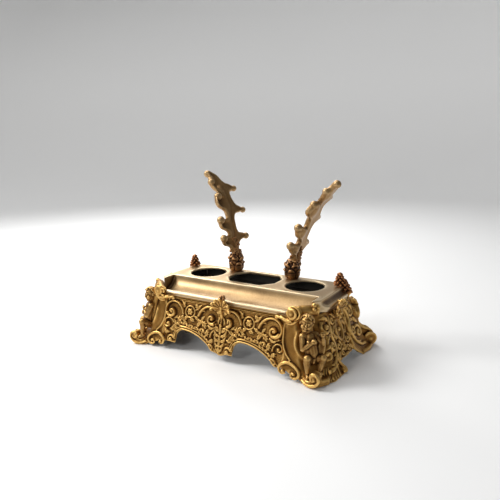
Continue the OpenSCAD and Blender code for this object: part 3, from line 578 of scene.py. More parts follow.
def panelShape(carve, half, lowEdge, side, skirt=0):
    # a carved sheet with a flat back, from its shaped lower edge up to the rim
    pitch = frieze["pitch"]
    columns = np.linspace(-half, half, int(2 * half / pitch) + 1)
    low = np.array([lowEdge(u) for u in columns])
    rows = np.linspace(0, 1, int(frieze["rise"] / pitch) + 1)
    top = upSlope(body["rimHeight"]) - 0.1
    u = np.repeat(columns[None, :], len(rows), axis=0)
    v = low[None, :] + (top - low[None, :]) * rows[:, None]
    carving = Carving(u, v)
    carve(carving)
    edge = np.minimum(np.clip((v - low[None, :]) / 1.2, 0, 1), np.clip((half - np.abs(u)) / 0.5, 0, 1))
    h = carving.h * np.sqrt(1 - (1 - edge) ** 2) + skirt * sweepAt(v * math.cos(tilt))[1]
    nr, nc = u.shape
    front = np.stack([u, v, h - body["ground"]], axis=-1).reshape(-1, 3)
    faces = [(r * nc + c, r * nc + c + 1, (r + 1) * nc + c + 1, (r + 1) * nc + c)
             for r in range(nr - 1) for c in range(nc - 1)]
    loop = (list(range(nc)) + [r * nc + nc - 1 for r in range(1, nr)]
            + [(nr - 1) * nc + c for c in range(nc - 2, -1, -1)] + [r * nc for r in range(nr - 2, 0, -1)])
    base = len(front)
    rear = front[loop].copy()
    rear[:, 2] = -body["ground"] - body["wall"]
    for k in range(len(loop)):
        n = (k + 1) % len(loop)
        faces.append((loop[n], loop[k], base + k, base + n))
    # the back joins each point of the lower edge to the one above it on the upper edge
    above = [base + nc - 1 + nr - 1 + (nc - 1) - c for c in range(nc)]
    faces += [(base + c, above[c], above[c + 1], base + c + 1) for c in range(nc - 1)]
    return placed(np.vstack([front, rear]), flatFrame(side)), faces


# one repeat of the long friezes, in u and z
frieze = {
    "repeat": 90, "pitch": 0.45, "rise": 62, "pearlLine": 67.0,
    "arch": {"x": -58, "top": 28.3, "small": 12, "large": 71},
    # eye, reach, hand, start and sweep of each scroll
    "volutes": ((-79.5, 49.8, 19.5, 1, 2, 470), (-14.6, 49.6, 20.5, -1, 4, 470),
                (-84, 33.5, 10.5, 1, 20, 430), (-5.5, 31, 9, -1, -20, 400)),
    # middle line, width and height of the leaves that join them
    "leaves": ((((-60.8, 47), (-63, 43), (-68, 40)), 3.6, 2.4),
               (((-61, 46), (-58, 41), (-53, 39)), 3.0, 2.2), (((-58, 58), (-62, 63), (-67, 66.5)), 2.2, 1.6),
               (((-42, 56), (-37, 60), (-33, 64.5)), 2.6, 1.8),
               (((-42, 49), (-37, 46), (-33, 42)), 3.0, 2.2), (((-35.9, 46), (-30, 43), (-24, 44)), 3.0, 2.3),
               (((-75, 40), (-70, 36), (-64, 35)), 3.2, 2.3), (((-90, 29), (-86, 24), (-80, 23)), 3.2, 2.3),
               (((-80, 28), (-74, 27), (-70, 30)), 2.6, 2.0), (((-70, 46), (-74, 42), (-80, 40)), 2.0, 1.7),
               (((-27, 51), (-30, 47), (-29, 42)), 2.4, 1.8), (((-20, 41), (-14, 38), (-10, 40)), 2.8, 2.2),
               (((-88, 62), (-84, 66), (-78, 67)), 2.0, 1.4)),
    # place, size and lean of the tufts
    "tufts": ((-64, 40.5, 6.5, 150), (-70, 33, 5, 200), (-27, 40, 6, 30), (-33, 39, 5, 120),
              (-22, 31.5, 5.5, 340), (-14, 24, 5, 300), (-86, 24.5, 5, 240), (-46, 42.5, 4.5, 60),
              (-55, 43.5, 4.5, 120), (-41, 60.5, 4.5, 20), (-59.5, 60.5, 4.5, 160), (-76, 30, 5, 330),
              (-9, 40, 4.5, 90), (-84, 41, 5, 110), (-88, 66, 4, 0), (-30, 57, 4, 60)),
    # height, half width and rise of the hanging leaves of the middle drop
    "drop": ((37, 8.4, 7.5), (31, 9.4, 7.0), (25, 8.8, 6.4), (19, 6.8, 5.4), (13.6, 4.6, 4.2)),
    "ring": (-50, 53.5), "ringSize": 7.4, "rosetteSize": 5.6,
    "archCurl": (-78.2, 14.6), "archEnd": (-12.6, 14.2),
}


def archLow(u):
    arch = frieze["arch"]
    top = upSlope(arch["top"])
    low = upSlope(body["lowEdge"]) - 2.6 * math.exp(-((u - 2) / 6) ** 2)
    for shift in (0, frieze["repeat"]):
        x = u - shift - arch["x"]
        if -arch["small"] < x <= 0:
            low = max(low, top - arch["small"] + math.sqrt(arch["small"] ** 2 - x * x))
        elif 0 < x < 47:
            low = max(low, top - arch["large"] + math.sqrt(arch["large"] ** 2 - x * x))
    return low


def carveGroup(c):
    for u, z, reach, hand, start, sweep in frieze["volutes"]:
        size = reach / 20
        c.bowl(c.at(u, z + 1.5 * size), 13 * size, 1.0)
        c.curl((u, z), reach, hand, start, sweep, 1.05 * size + 0.75, 2.2 + 1.0 * size, taper=0.85)
        # the rolled leaf that ends in each eye, with a thick rounded back
        c.curl((u, z), reach * 0.36, hand, start + 200, 330, 2.5 * size, 3.2 * size + 0.6, 0.0034, taper=0.55)
        c.knob(c.at(u, z), 2.3 * size + 0.7, 3.4)
        c.curl((u, z), reach * 0.84, hand, start + 30, 190, 1.3 * size, 1.3 * size, 0.0034, taper=0.5)
    # ring and rosette between the scrolls
    ring = c.at(*frieze["ring"])
    c.wire(arc(ring, frieze["ringSize"], np.linspace(0, 2 * math.pi, 40)), 1.2, 1.7)
    c.rosette(ring, frieze["rosetteSize"], 2.3)
    for points, width, height in frieze["leaves"]:
        c.leaf(points, width, height, 3)
    # garland of small leaves above the arch
    for k in range(9):
        u, z = -62 + 4.5 * k, 37.4 - 0.55 * k + 0.06 * (k - 4) ** 2
        lean = 1 if k % 2 else -1
        c.leaf(((u - 2.6, z - 1.2 * lean), (u, z), (u + 3, z + 1.8 * lean)), 2.1, 2.1, 2)
        c.knob(c.at(u, z + 1.2 * lean), 1.2, 2.3)
    c.wire(c.path((-66, 33.5), (-50, 33.5), (-34, 32.5), (-20, 30)), 0.8, 1.2)
    # tufts of small leaves fill the ground between
    for u, z, size, lean in frieze["tufts"]:
        for k in range(5):
            a = math.radians(lean + 36 * (k - 2))
            far = (u + size * math.cos(a), z + size * math.sin(a))
            bend = (u + 0.55 * size * math.cos(a + 0.25), z + 0.55 * size * math.sin(a + 0.25))
            c.leaf(((u, z), bend, far), 0.26 * size + 0.3, 2.3, 2)
        c.knob(c.at(u, z), 0.24 * size, 2.6)
    # arch moulding, its curl and its leafy end
    arch = frieze["arch"]
    for out, wide, tall in ((2.0, 1.3, 2.2), (4.6, 0.8, 1.5)):
        for part, angles in (("large", np.linspace(90, 47, 40)), ("small", np.linspace(180, 90, 24))):
            centre = c.at(arch["x"], arch["top"] - arch[part] * math.cos(tilt))
            c.wire(arc(centre, arch[part] + out, np.radians(angles)), wide, tall)
    c.curl(frieze["archCurl"], 6.4, 1, 20, 400, 1.4, 2.3, groove=0.2)
    c.knob(c.at(*frieze["archCurl"]), 1.9, 2.6)
    for k in range(5):
        u, z = -31 + 4.4 * k, 29.3 - 1.1 * k - 0.42 * k * k
        c.leaf(((u - 2, z + 2.4), (u, z - 0.4), (u + 2.6, z - 2.6)), 2.2, 2.4, 2)
    c.curl(frieze["archEnd"], 5.2, -1, 60, 400, 1.2, 2.2)
    c.knob(c.at(*frieze["archEnd"]), 1.5, 2.4)


def carveLong(c, crested):
    for step in (-1, 0, 1, 2):
        c.shift = step * frieze["repeat"]
        carveGroup(c)
    c.shift = 0
    # the middle drop: pearls, shell and hanging leaves
    near = np.abs(c.u) < 9.5
    c.h[near] = np.minimum(c.h[near], 0.9)
    c.rowOf([c.at(0, 56), c.at(0, 44.5)], 1.3, 2.5, 2.4)
    for side in (-1, 1):
        c.leaf(((side * 0.8, 55), (side * 4.5, 50), (side * 3.6, 44)), 2.0, 2.0, 3)
        for z, wide, tall in frieze["drop"]:
            c.leaf(((side * 0.8, z), (side * 0.62 * wide, z + 0.2 * tall), (side * wide, z + tall)),
                   0.3 * wide + 0.4, 2.6, 3)
            c.knob(c.at(side * wide * 0.96, z + tall), 1.1, 2.4)
        c.curl((side * 5.4, 38.6), 4.2, side, 10, 380, 0.9, 2.2)
    c.leaf(((0, 43.5), (0, 38), (0, 32)), 3.6, 3.0, 5)
    c.leaf(((0, 31), (0, 24), (0, 17)), 3.6, 3.0, 5)
    c.leaf(((0, 18), (0, 13), (0, 8.4)), 3.0, 2.8, 4)
    c.knob(c.at(0, 44), 2.6, 3.2)
    c.knob(c.at(0, 31.4), 1.8, 3.2)
    if crested:
        c.knob(c.at(2, 63.5), 4.4, 2.6)
    # pearl string and fillet under the rim
    pearls = frieze["pearlLine"]
    c.rowOf([(-92, upSlope(pearls)), (92, upSlope(pearls))], 0.98, 2.0, 1.7)
    for z, wide, tall in ((pearls + 1.9, 0.7, 1.3), (pearls - 1.7, 0.5, 0.8)):
        c.wire([c.at(-92, z), c.at(92, z)], wide, tall)
    c.stipple(0.42)


# right half of the short panels, drawn on both halves
shortPanel = {
    "oval": (8.4, 13.5), "middle": 43, "broad": 1.4, "sweep": 400, "leafHeight": 2.3,
    # eye, reach, hand, start, width and height of each scroll, then middle line and width of each leaf
    "curls": ((13.4, 58, 6.4, 1, 200, 1.2, 2.2), (13.4, 27, 6.4, 1, 140, 1.2, 2.2),
              (8.2, 17, 5.4, -1, 30, 1.1, 2.2)),
    "leaves": ((((9, 36), (14, 38), (17, 44)), 2.8), (((9, 50), (14, 48), (18, 42)), 2.8),
               (((2, 57), (7, 62), (13, 65)), 2.6), (((18, 53), (20, 48), (19, 42)), 2.0),
               (((18, 33), (20, 28), (19, 22)), 2.0), (((1, 29), (5, 26), (8, 29)), 2.4),
               (((1, 24), (5, 20), (9, 22.5)), 2.4), (((14, 20), (18, 16), (20, 12)), 2.6),
               (((2, 14), (6, 12), (11, 12.5)), 2.2)),
}


def carveHalf(c, look, s):
    for u, z, reach, hand, start, width, height in look["curls"]:
        c.curl((s * u, z), reach, s * hand, start, look["sweep"], width, height)
    for points, width in look["leaves"]:
        c.leaf([(s * u, z) for u, z in points], width, look["leafHeight"], 3)


def carveSide(c):
    look = shortPanel
    c.broad = look["broad"]
    turn = np.linspace(0, 2 * math.pi, 60)
    middle, (wide, tall) = upSlope(look["middle"]), look["oval"]
    oval = np.stack([wide * np.cos(turn), middle + tall * np.sin(turn)], axis=1)
    c.wire(oval, 1.5, 2.2, groove=0.2)
    c.wire(oval * np.array([[0.74, 0.78]]) + np.array([[0, middle * 0.22]]), 0.7, 1.2)
    c.rosette(c.at(0, look["middle"]), 3.6, 2.2)
    for s in (-1, 1):
        carveHalf(c, look, s)
    c.leaf(((0, 58), (0, 62), (0, 67)), 2.6, 2.4, 4)
    c.leaf(((0, 30), (0, 23), (0, 16)), 3.2, 2.8, 5)
    c.knob(c.at(0, 13), 2.4, 2.6)
    c.stipple(0.42)


def sideLow(u):
    return upSlope(body["lowEdge"]) - 1.0 + 1.6 * abs(math.sin(math.pi * u / 15))


def makePanels():
    for side in ("front", "back", "left", "right"):
        if side in ("front", "back"):
            shape = panelShape(lambda c: carveLong(c, side == "front"), body["longHalf"], archLow, side)
        else:
            shape = panelShape(carveSide, body["shortHalf"], sideLow, side, body["skirt"])
        panel = makeObject(side + "Frieze", [shape])
        soften(panel, 1)
        paintRelief(panel, 0.55 if side in ("front", "back") else 0.8, 6)
        facing = np.array(flatFrame(side))[:3, 2]
        # the backs of the panels get the near-black inside finish, painted shade
        finishPiece(panel, "gilt", [side + "_panel"], lambda at, out: out @ facing < -0.3)


makePanels()
print("panels carved")

# seam: where the corners meet the panels; the castings keep their shape there
corners = {"baseVoxel": 0.8, "voxel": 0.6, "smooth": 12, "relief": 0.75, "seam": (90, 22), "under": 69,
           "margin": 2.4}


def corner(d, t, z):
    # d runs outward along the diagonal, t along the corner and z up
    return np.array([(d + t) / math.sqrt(2), (t - d) / math.sqrt(2), z])


def cornerPath(*points):
    return np.array([corner(*p) for p in smoothPath(points)])


def carveOnto(thing, side, carve):
    # raises a carving on the faces of a casting that look to one side
    mesh = thing.data
    points, normals = fetch(mesh.vertices, "co") / mm, fetch(mesh.vertices, "normal")
    matrix = np.array(flatFrame(side))
    local = (points - matrix[:3, 3]) @ matrix[:3, :3]
    skirt = body["skirt"] * sweepAt(points[:, 2])[1]
    facing = normals @ matrix[:3, 2]
    seat = np.clip((facing - 0.55) / 0.3, 0, 1) * (np.abs(local[:, 2] - skirt) < 4) \
        * np.clip((upSlope(68.6) - local[:, 1]) / 1.5, 0, 1) * np.clip((local[:, 1] - upSlope(3)) / 2, 0, 1)
    carving = Carving(local[:, 0], local[:, 1])
    carve(carving)
    points += matrix[:3, 2] * (carving.h * seat)[:, None]
    movePoints(mesh, points * mm)


# the legs' side faces, on either side of the short panel, in the same form; knobs are place and size
skirtLook = {
    "broad": 1.35, "lift": 1.15, "sweep": 430, "leafHeight": 2.2,
    "curls": ((33, 54, 8.6, -1, 120, 1.7, 2.4), (30, 33, 7.2, 1, 200, 1.5, 2.2),
              (43, 26, 9.4, -1, 60, 1.7, 2.4)),
    "knobs": ((33, 54, 2.4), (43, 26, 2.2)),
    "stem": ((24, 64), (27, 48), (24.6, 34), (30, 20), (41, 11), (52, 9)),
    "leaves": ((((26, 60), (31, 65), (38, 66)), 2.4), (((40, 62), (43, 55), (41, 48)), 2.6),
               (((27, 44), (32, 45), (38, 42)), 2.6), (((38, 46), (43, 41), (47, 36)), 2.8),
               (((26, 28), (29, 23), (34, 22)), 2.6), (((34, 17), (38, 14), (44, 15)), 2.4),
               (((36, 36), (34, 30), (35, 25)), 2.2), (((50, 34), (52, 27), (51, 20)), 2.6),
               (((44, 58), (48, 52), (48, 46)), 2.2)),
}


def carveSkirt(c):
    look = skirtLook
    c.broad, c.lift = look["broad"], look["lift"]
    for s in (-1, 1):
        carveHalf(c, look, s)
        for u, z, size in look["knobs"]:
            c.knob(c.at(s * u, z), size, 2.6)
        c.wire(c.path(*[(s * u, z) for u, z in look["stem"]]), 1.6, 2.2)
    c.stipple(0.4)


def makeLeg(name, node, signs, trim):
    base = makeObject(name + "Base", [cadShape(node)])
    fuse(base, corners["baseVoxel"])

    def hold(at):
        x, y, z = np.abs(at[:, 0]), np.abs(at[:, 1]), at[:, 2]
        seam = np.minimum(x - corners["seam"][0], y - corners["seam"][1])
        return np.clip(1 - (seam - 0.8) / 3, 0, 1) * (z < corners["under"])

    # faces inside the body get the near-black inside finish, painted shade
    def inner(at, out):
        return insideBody(at, corners["margin"]) & (at[:, 2] < corners["under"] + 0.5)

    soften(base, corners["smooth"], hold)
    shape = shapeOf(base.data)
    bpy.data.objects.remove(base)
    leg = cast(name, [shape] + turned(trim, signs), corners["voxel"], 2, None)
    carveOnto(leg, "right" if signs[0] > 0 else "left", carveSkirt)
    paintRelief(leg, corners["relief"])
    finishPiece(leg, "gilt", [node], inner)


def volute(eye, reach, axisU, axisV, hand, start, sweep, radius, decay=0.005, rise=0):
    # a rolled band seen along its axis, in the plane of two directions
    flat = spiral((0, 0), reach, hand, start, sweep, decay)
    u, v = np.array(axisU, float), np.array(axisV, float)
    lift = np.cross(u, v) * rise
    path = np.array(eye) + flat[:, :1] * u + flat[:, 1:] * v \
        + np.linspace(0, 1, len(flat))[:, None] * lift
    return [tube(path, [radius, radius * 0.8, radius * 0.6], 10), ball(path[-1], radius * 1.1)]


# bands of the legs: middle line, radii along it and the knobs that end it; a few have their own section
legTrim = {
    "foot": {"line": ((94.8, -72.3, 7.6), (92.0, -72.4, 6.2), (88.6, -72.2, 8.0), (87.2, -71.8, 12.7),
                      (89.9, -71.2, 16.6), (95.4, -70.6, 19.5), (101.8, -70.6, 19.4), (107.8, -71.2, 17.0),
                      (112.6, -72, 13.0), (113.6, -72.8, 8.4), (110.4, -73.4, 4.4), (105.5, -73.3, 4.2),
                      (103.2, -73.1, 6.9), (105.2, -73, 9.5), (108.2, -73.3, 8.6)),
             "radii": (1.0, 1.5, 2.1, 2.2, 1.9, 1.3, 1.1),
             "knobs": (((107, -73.2, 8.4), 1.9), ((92.6, -72.4, 9.4), 2.2))},
    "toe": {"line": ((117.5, -73.4, 5.2), (122.7, -76.6, 3.0), (129.4, -78.6, 2.4), (135.8, -79, 4.0),
                     (140.0, -78.8, 8.4), (139.8, -78.4, 13.2), (136.2, -78.4, 15.8), (132.4, -78.6, 14.4),
                     (131.4, -78.9, 11.0), (133.4, -79.2, 8.8), (136, -79.3, 10.0)),
            "radii": (1.5, 2.0, 1.9, 1.5, 1.1), "knobs": (((135.2, -79.2, 10.6), 1.6),)},
    "ridge": {"line": ((88.6, -58.8, 62), (88.8, -61.4, 51), (90.0, -64.6, 39), (94.5, -67.4, 29.3),
                       (101.3, -69.3, 22.4)),
              "radii": (1.0, 1.5, 1.7, 1.4), "sides": 8, "flat": 0.8},
    "shoulder": {"line": ((76.2, -58.4, 65.8), (77.6, -58.6, 69.2), (81.6, -59.6, 68.4), (85.6, -61, 68.9),
                          (89.8, -61.8, 67.6), (94.5, -62, 66.6), (100, -62.4, 67.4)),
                 "radii": (0.9, 1.5, 1.8, 2.0, 2.2), "knobs": (((78.4, -58.6, 66.6), 1.6),)},
    "under": {"line": ((104.6, -55.4, 82.8), (108.4, -57.4, 78.4), (107.9, -58.8, 72.6), (103, -59.8, 66.2),
                       (97.4, -60.4, 62.6), (90.4, -60.2, 63.4)),
              "radii": (1.6, 2.0, 1.7, 1.0)},
    "side": {"line": ((134.2, -23.8, 31), (137.3, -27.6, 24.8), (141, -27.4, 17.1), (144.6, -24.6, 10.2),
                      (149.2, -23.8, 6.8), (151.2, -25.2, 3.8), (148.6, -27.6, 2.6)),
             "radii": (1.0, 1.7, 1.9, 1.8, 1.2), "knobs": (((149.6, -25, 4.4), 2.0),)},
    "footTip": ((94.8, -72.3, 7.6), 1.5), "flutes": 9,
    # in d, t and z: the roll that joins plate and body, and the niche wall the seated child leans against
    "shelf": ((111.2, 28, 76.8), (112, 42, 77.4), (111.2, 58, 76.8)),
    "niche": ((119, 45.6, 22), (120, 45.4, 32), (119.4, 44.6, 43), (117.6, 44, 54), (115.6, 43.4, 66)),
    "berries": (((118.6, -43.2, 83.2), 2.9), ((122, -40.6, 80.4), 2.4), ((119.6, -45.6, 79), 2.4)),
}


def bandOf(name):
    look = legTrim[name]
    band = tube(smoothPath(look["line"], 5), look["radii"], look.get("sides", 10), look.get("flat", 1.0))
    return [band] + [ball(spot, size) for spot, size in look.get("knobs", ())]


def frontLegTrim(eye, reach, berries):
    shapes = bandOf("foot") + [ball(*legTrim["footTip"])]
    for name in ("toe", "ridge", "shoulder", "under", "side"):
        shapes += bandOf(name)
    shapes.append(tube(cornerPath(*legTrim["shelf"]), [6.2, 6.6, 5.6], 16))
    shapes.append(tube(cornerPath(*legTrim["niche"]), [8.6, 8.0, 7.4, 7.0, 6.2], 14))
    if berries:
        shapes += [ball(spot, size) for spot, size in legTrim["berries"]]
    shapes += volute(eye, reach, (1, 0, 0), (0, 0, 1), 1, -110, 520, 0.25 * reach, 0.0036, -1.2)
    # a second, wider roll behind it
    behind = (eye[0] + 1.4, eye[1] + 2.2, eye[2] - 0.4)
    shapes += volute(behind, reach * 1.1, (1, 0, 0), (0, 0, 1), 1, -100, 250, 0.2 * reach, 0.0006)
    # flutes on the spreading base, between the toe and the side scroll
    for k in range(legTrim["flutes"]):
        s = (k + 0.5) / legTrim["flutes"]
        top = corner(136.5 - 10.5 * s, 50.5 + 27 * s, 15.5 - 1.5 * math.sin(math.pi * s))
        foot = corner(149.4 - 20.0 * s ** 1.5, 44.5 + 37 * s, 2.0)
        middle = (top + foot) / 2 + corner(-1.6, 0, -1.2)
        shapes.append(tube(smoothPath((top, middle, foot), 5), [0.8, 1.3, 1.7], 8))
    return shapes


def slab(profile, low, high):
    # a prism along the corner, from its outline in d and z
    count = len(profile)
    points = [corner(d, t, z) for t in (low, high) for d, z in profile]
    faces = [tuple(range(count)), tuple(range(2 * count - 1, count - 1, -1))]
    faces += [(k, k + count, (k + 1) % count + count, (k + 1) % count) for k in range(count)]
    return np.array(points), faces


backScroll = {
    "outer": ((127.5, 65.5), (131, 62.5), (131.8, 57), (130.2, 50), (130.8, 42), (133.4, 35), (137.6, 28.6),
              (143.6, 24.6), (150, 22), (154.6, 17), (155, 9.5), (151, 4.6)),
    "low": 42.5, "high": 53, "inner": 110, "edge": 1.7,
    # d, z and size of the rolls across the scroll
    "rolls": ((131.6, 57.5, 3.4), (129.8, 47, 2.0), (133, 37, 2.2), (140, 27.4, 2.4), (151, 14, 4.4)),
}


def backLegTrim():
    # drawn at the front right like the front legs, then mirrored
    look = backScroll
    outer = smoothPath(look["outer"], 5)
    low, high, inner, edge = look["low"], look["high"], look["inner"], look["edge"]
    shapes = [slab([(inner, 65.5)] + [tuple(p) for p in outer] + [(146, 0.6), (inner, 0.6)], low, high)]
    for t in (low + 0.8, high - 0.8):
        shapes.append(tube([corner(d, t, z) for d, z in outer], [edge, edge * 1.2, edge], 10))
    for d, z, size in look["rolls"]:
        across = [corner(d, low - 0.6 + share * (high - low + 1.2), z) for share in (0, 0.5, 1)]
        shapes.append(tube(across, [size * 0.95, size * 0.86, size * 0.95], 14))
    return shapes + bandOf("foot")


# place and reach of the roll at the head of each front leg, drawn at the right
headRoll = {"Left": ((92, -62.5, 75.8), 6.2, False), "Right": ((100.4, -63.8, 77.6), 7.4, True)}

for tag, sign in (("Left", -1), ("Right", 1)):
    makeLeg("frontLeg" + tag, "leg_front_" + tag.lower(), (sign, 1), frontLegTrim(*headRoll[tag]))
    makeLeg("backLeg" + tag, "leg_back_" + tag.lower(), (sign, -1), backLegTrim())
print("legs cast")

# seated children, in d, t and z as on the corners: limbs by their joints, the torso with its radii
child = {
    "torso": (((131, 45.8, 25.5), 7.6), ((132.2, 45.4, 33.0), 7.5), ((130.8, 44.2, 42.5), 7.3),
              ((129, 43.6, 50.5), 6.2)),
    "neck": ((127.6, 42.4, 54.5), (127.8, 41.2, 59)), "nape": (128, 43.6, 52.6),
    "chest": ((134.2, 41.2, 46.2), (134.2, 47.2, 46.2)),
    "nearArm": ((128, 35.8, 52.2), (134.6, 33.8, 39.4), (136.8, 43.4, 46.2)),
    "farArm": ((127.4, 50.8, 52.0), (132.4, 58.4, 42.4), (133.2, 57.6, 50.8)),
    "crossedArm": ((127.4, 50.8, 52.0), (133.4, 56.4, 41), (137.2, 47.0, 41.8)),
    "nearLeg": ((132, 42, 25.6), (141.6, 36.4, 30.8), (142.2, 36.4, 14)),
    "farLeg": ((132, 50, 25.2), (139.8, 55.6, 28.4), (140.4, 52.2, 15.4)),
    "folds": 6, "lapFolds": 4, "voxel": 0.42, "sunk": 2.8,
}
# x across, y out of the face and z up, then radius and squash, all as shares of the half height
head = {
    "centre": (127.8, 40.6, 66.9), "half": 9.3, "turn": -22, "lean": 12, "curls": 64,
    "crown": (0, -0.10, 0.24), "crownSize": (0.74, 0.80, 0.76),
    "middle": ((0, -0.10, 0.24, 0.80, (0.92, 1.0, 0.92)), (0, 0.14, -0.24, 0.62, (0.94, 0.96, 1.08)),
               (0, 0.52, -0.74, 0.19), (0, 0.87, -0.15, 0.10)),
    "pairs": ((0.34, 0.44, -0.32, 0.29), (0.28, 0.66, 0.19, 0.17, (1.3, 0.6, 0.5)),
              (0.27, 0.67, 0.01, 0.11, (1.2, 0.6, 0.7)), (0.08, 0.81, -0.18, 0.07),
              (0.76, -0.05, -0.08, 0.18, (0.5, 0.8, 1.3))),
    "nose": ((0, 0.70, 0.22), (0, 0.79, 0.03), (0, 0.87, -0.13)),
    "lips": ((((-0.19, 0.66, -0.42), (0, 0.77, -0.39), (0.19, 0.66, -0.42)), (0.03, 0.06, 0.03)),
             (((-0.14, 0.66, -0.50), (0, 0.75, -0.52), (0.14, 0.66, -0.50)), (0.03, 0.07, 0.03))),
}


def chain(points, radii):
    shapes = []
    for a, b, ra, rb in zip(points, points[1:], radii, radii[1:]):
        shapes += bone(corner(*a), ra, corner(*b), rb)
    return shapes


def between(a, b, share, shift=(0, 0, 0)):
    return tuple(p + (q - p) * share + s for p, q, s in zip(a, b, shift))


def armOf(points):
    shoulder, elbow, hand = points
    shapes = chain((shoulder, between(shoulder, elbow, 0.45), elbow), (4.0, 3.7, 3.0))
    shapes += chain((elbow, between(elbow, hand, 0.35), hand), (3.0, 3.0, 2.1))
    reach = np.array(hand) - np.array(elbow)
    reach /= np.linalg.norm(reach)
    palm = np.array(hand) + reach * 1.8
    shapes.append(ball(corner(*palm), 2.7, (1, 1, 0.9)))
    side = np.cross(reach, (1, 0, 0))
    for k in range(4):
        root = palm + side * (k - 1.5) * 1.25 + (0.9, 0, 0)
        shapes += chain((root, root + reach * 2.4 + (0.6, 0, 0), root + reach * 3.8 + (-0.6, 0, 0)),
                        (0.95, 0.85, 0.7))
    shapes += chain((palm - side * 2.0, palm - side * 3.0 + reach * 2), (0.95, 0.75))
    return shapes


def legOf(points, toes):
    hip, knee, ankle = points
    shapes = chain((hip, between(hip, knee, 0.5), knee), (6.2, 5.6, 4.3))
    shapes += chain((knee, between(knee, ankle, 0.35, (-1.0, 0, 0)), between(knee, ankle, 0.8), ankle),
                    (4.2, 4.0, 2.9, 2.6))
    heel = np.array(ankle) + (-0.8, 0, -2.2)
    footBall = np.array(ankle) + (3.6, toes, -3.4)
    shapes += chain((ankle, heel), (2.6, 2.4)) + chain((heel, footBall), (2.4, 2.0))
    for k in range(5):
        toe = footBall + (1.6 - 0.25 * k, (k - 2) * 0.95, -0.3)
        shapes.append(ball(corner(*toe), 1.0 - 0.07 * k))
    return shapes


def headOf(look):
    turn, lean = math.radians(look["turn"]), math.radians(look["lean"])
    face = corner(math.cos(turn), math.sin(turn), 0)
    side = corner(-math.sin(turn), math.cos(turn), 0)
    rise = np.array([0, 0, math.cos(lean)]) + side * math.sin(lean)
    basis = np.stack([np.cross(face, rise), face, rise]) * look["half"]
    shapes = [ball((x, y, z), *size) for x, y, z, *size in look["middle"]]
    shapes.append(tube(look["nose"], [0.06, 0.07, 0.10], 8))
    shapes += [ball((s * x, y, z), *size) for s in (-1, 1) for x, y, z, *size in look["pairs"]]
    shapes += [tube(line, radii, 8) for line, radii in look["lips"]]
    # curls lie in rings over the crown and down to the nape, and leave the face free
    count = look["curls"]
    for k in range(count):
        z = 1 - 1.5 * (k + 0.5) / count
        around = k * 2.39996
        out = np.array([math.cos(around) * math.sqrt(1 - z * z), math.sin(around) * math.sqrt(1 - z * z), z])
        if (out[1] > 0.25 and z < 0.62) or (z < -0.1 and out[1] > -0.2):
            continue
        root = np.array(look["crown"]) + out * np.array(look["crownSize"])
        first = np.cross(out, (0.3, 0.9, 0.2))
        first /= np.linalg.norm(first)
        second = np.cross(out, first)
        turns = np.radians(np.linspace(0, 400, 12) + 50 * k)
        curl = [root + first * r * math.cos(a) + second * r * math.sin(a) + out * (0.10 + 0.3 * (0.17 - r))
                for a, r in zip(turns, np.linspace(0.17, 0.03, 12))]
        shapes.append(tube(curl, [0.06, 0.085, 0.08], 8))
    return [(points @ basis + corner(*look["centre"]), faces) for points, faces in shapes]


def makeChild(name, node, signs, farArm):
    shapes = chain([p for p, r in child["torso"]], [r for p, r in child["torso"]])
    shapes += chain(child["neck"], (3.6, 3.4))
    shapes += chain((child["nearArm"][0], child["nape"], child["farArm"][0]), (4.2, 4.8, 4.2))
    shapes += [ball(corner(*spot), 3.3) for spot in child["chest"]]
    shapes += armOf(child["nearArm"]) + armOf(child[farArm])
    shapes += legOf(child["nearLeg"], -0.8) + legOf(child["farLeg"], 0)
    shapes += headOf(head)
    # folds of cloth from the far hip up to the raised hand, then over the lap
    for k in range(child["folds"]):
        s = k / (child["folds"] - 1)
        fold = cornerPath((131.5 + 2.2 * s, 54.5 - 4.5 * s, 24 + 1.6 * s), (134.6, 57.4 - 5.2 * s, 32),
                          (133.4 - 0.6 * s, 59.4 - 5.2 * s, 41), (131.6, 58.6 - 2.8 * s, 47))
        shapes.append(tube(fold, [1.2, 1.7, 1.6, 1.0], 8))
    for k in range(child["lapFolds"]):
        fold = cornerPath((137, 39 + 1.5 * k, 29 - k), (138.6, 45, 27.6 - 1.3 * k),
                          (137, 51 - 1.2 * k, 29 - 1.4 * k))
        shapes.append(tube(fold, [0.9, 1.4, 0.9], 8))
    shapes = turned(moved(shapes, -corner(child["sunk"], 0, 0)), signs)
    # the children take the darker copy of the gilt, painted shade
    finishPiece(cast(name, shapes, child["voxel"], 1, 0.5), "shadedChildGilt", [node])


makeChild("childLeft", "putto_left", (-1, 1), "crossedArm")
makeChild("childRight", "putto_right", (1, 1), "farArm")
print("children cast")

# where the pen rests stand on the plate
stands = {"x": 45, "y": 42.5, "plateTop": 85}
# rose buds that hold the pen rests: reach, height, size and turn of each row of petals
bud = {"petals": 5, "rows": ((6.8, 7.6, 6.2, 0), (7.2, 14.6, 5.4, 0.5)), "lip": (0.9, 1.7, 2.0, 1.7, 0.9),
       "stem": (8.0, 7.8, 9.0, 9.6, 8.6, 6.2), "rimCrumbs": 34, "stemCrumbs": 22, "voxel": 0.45}


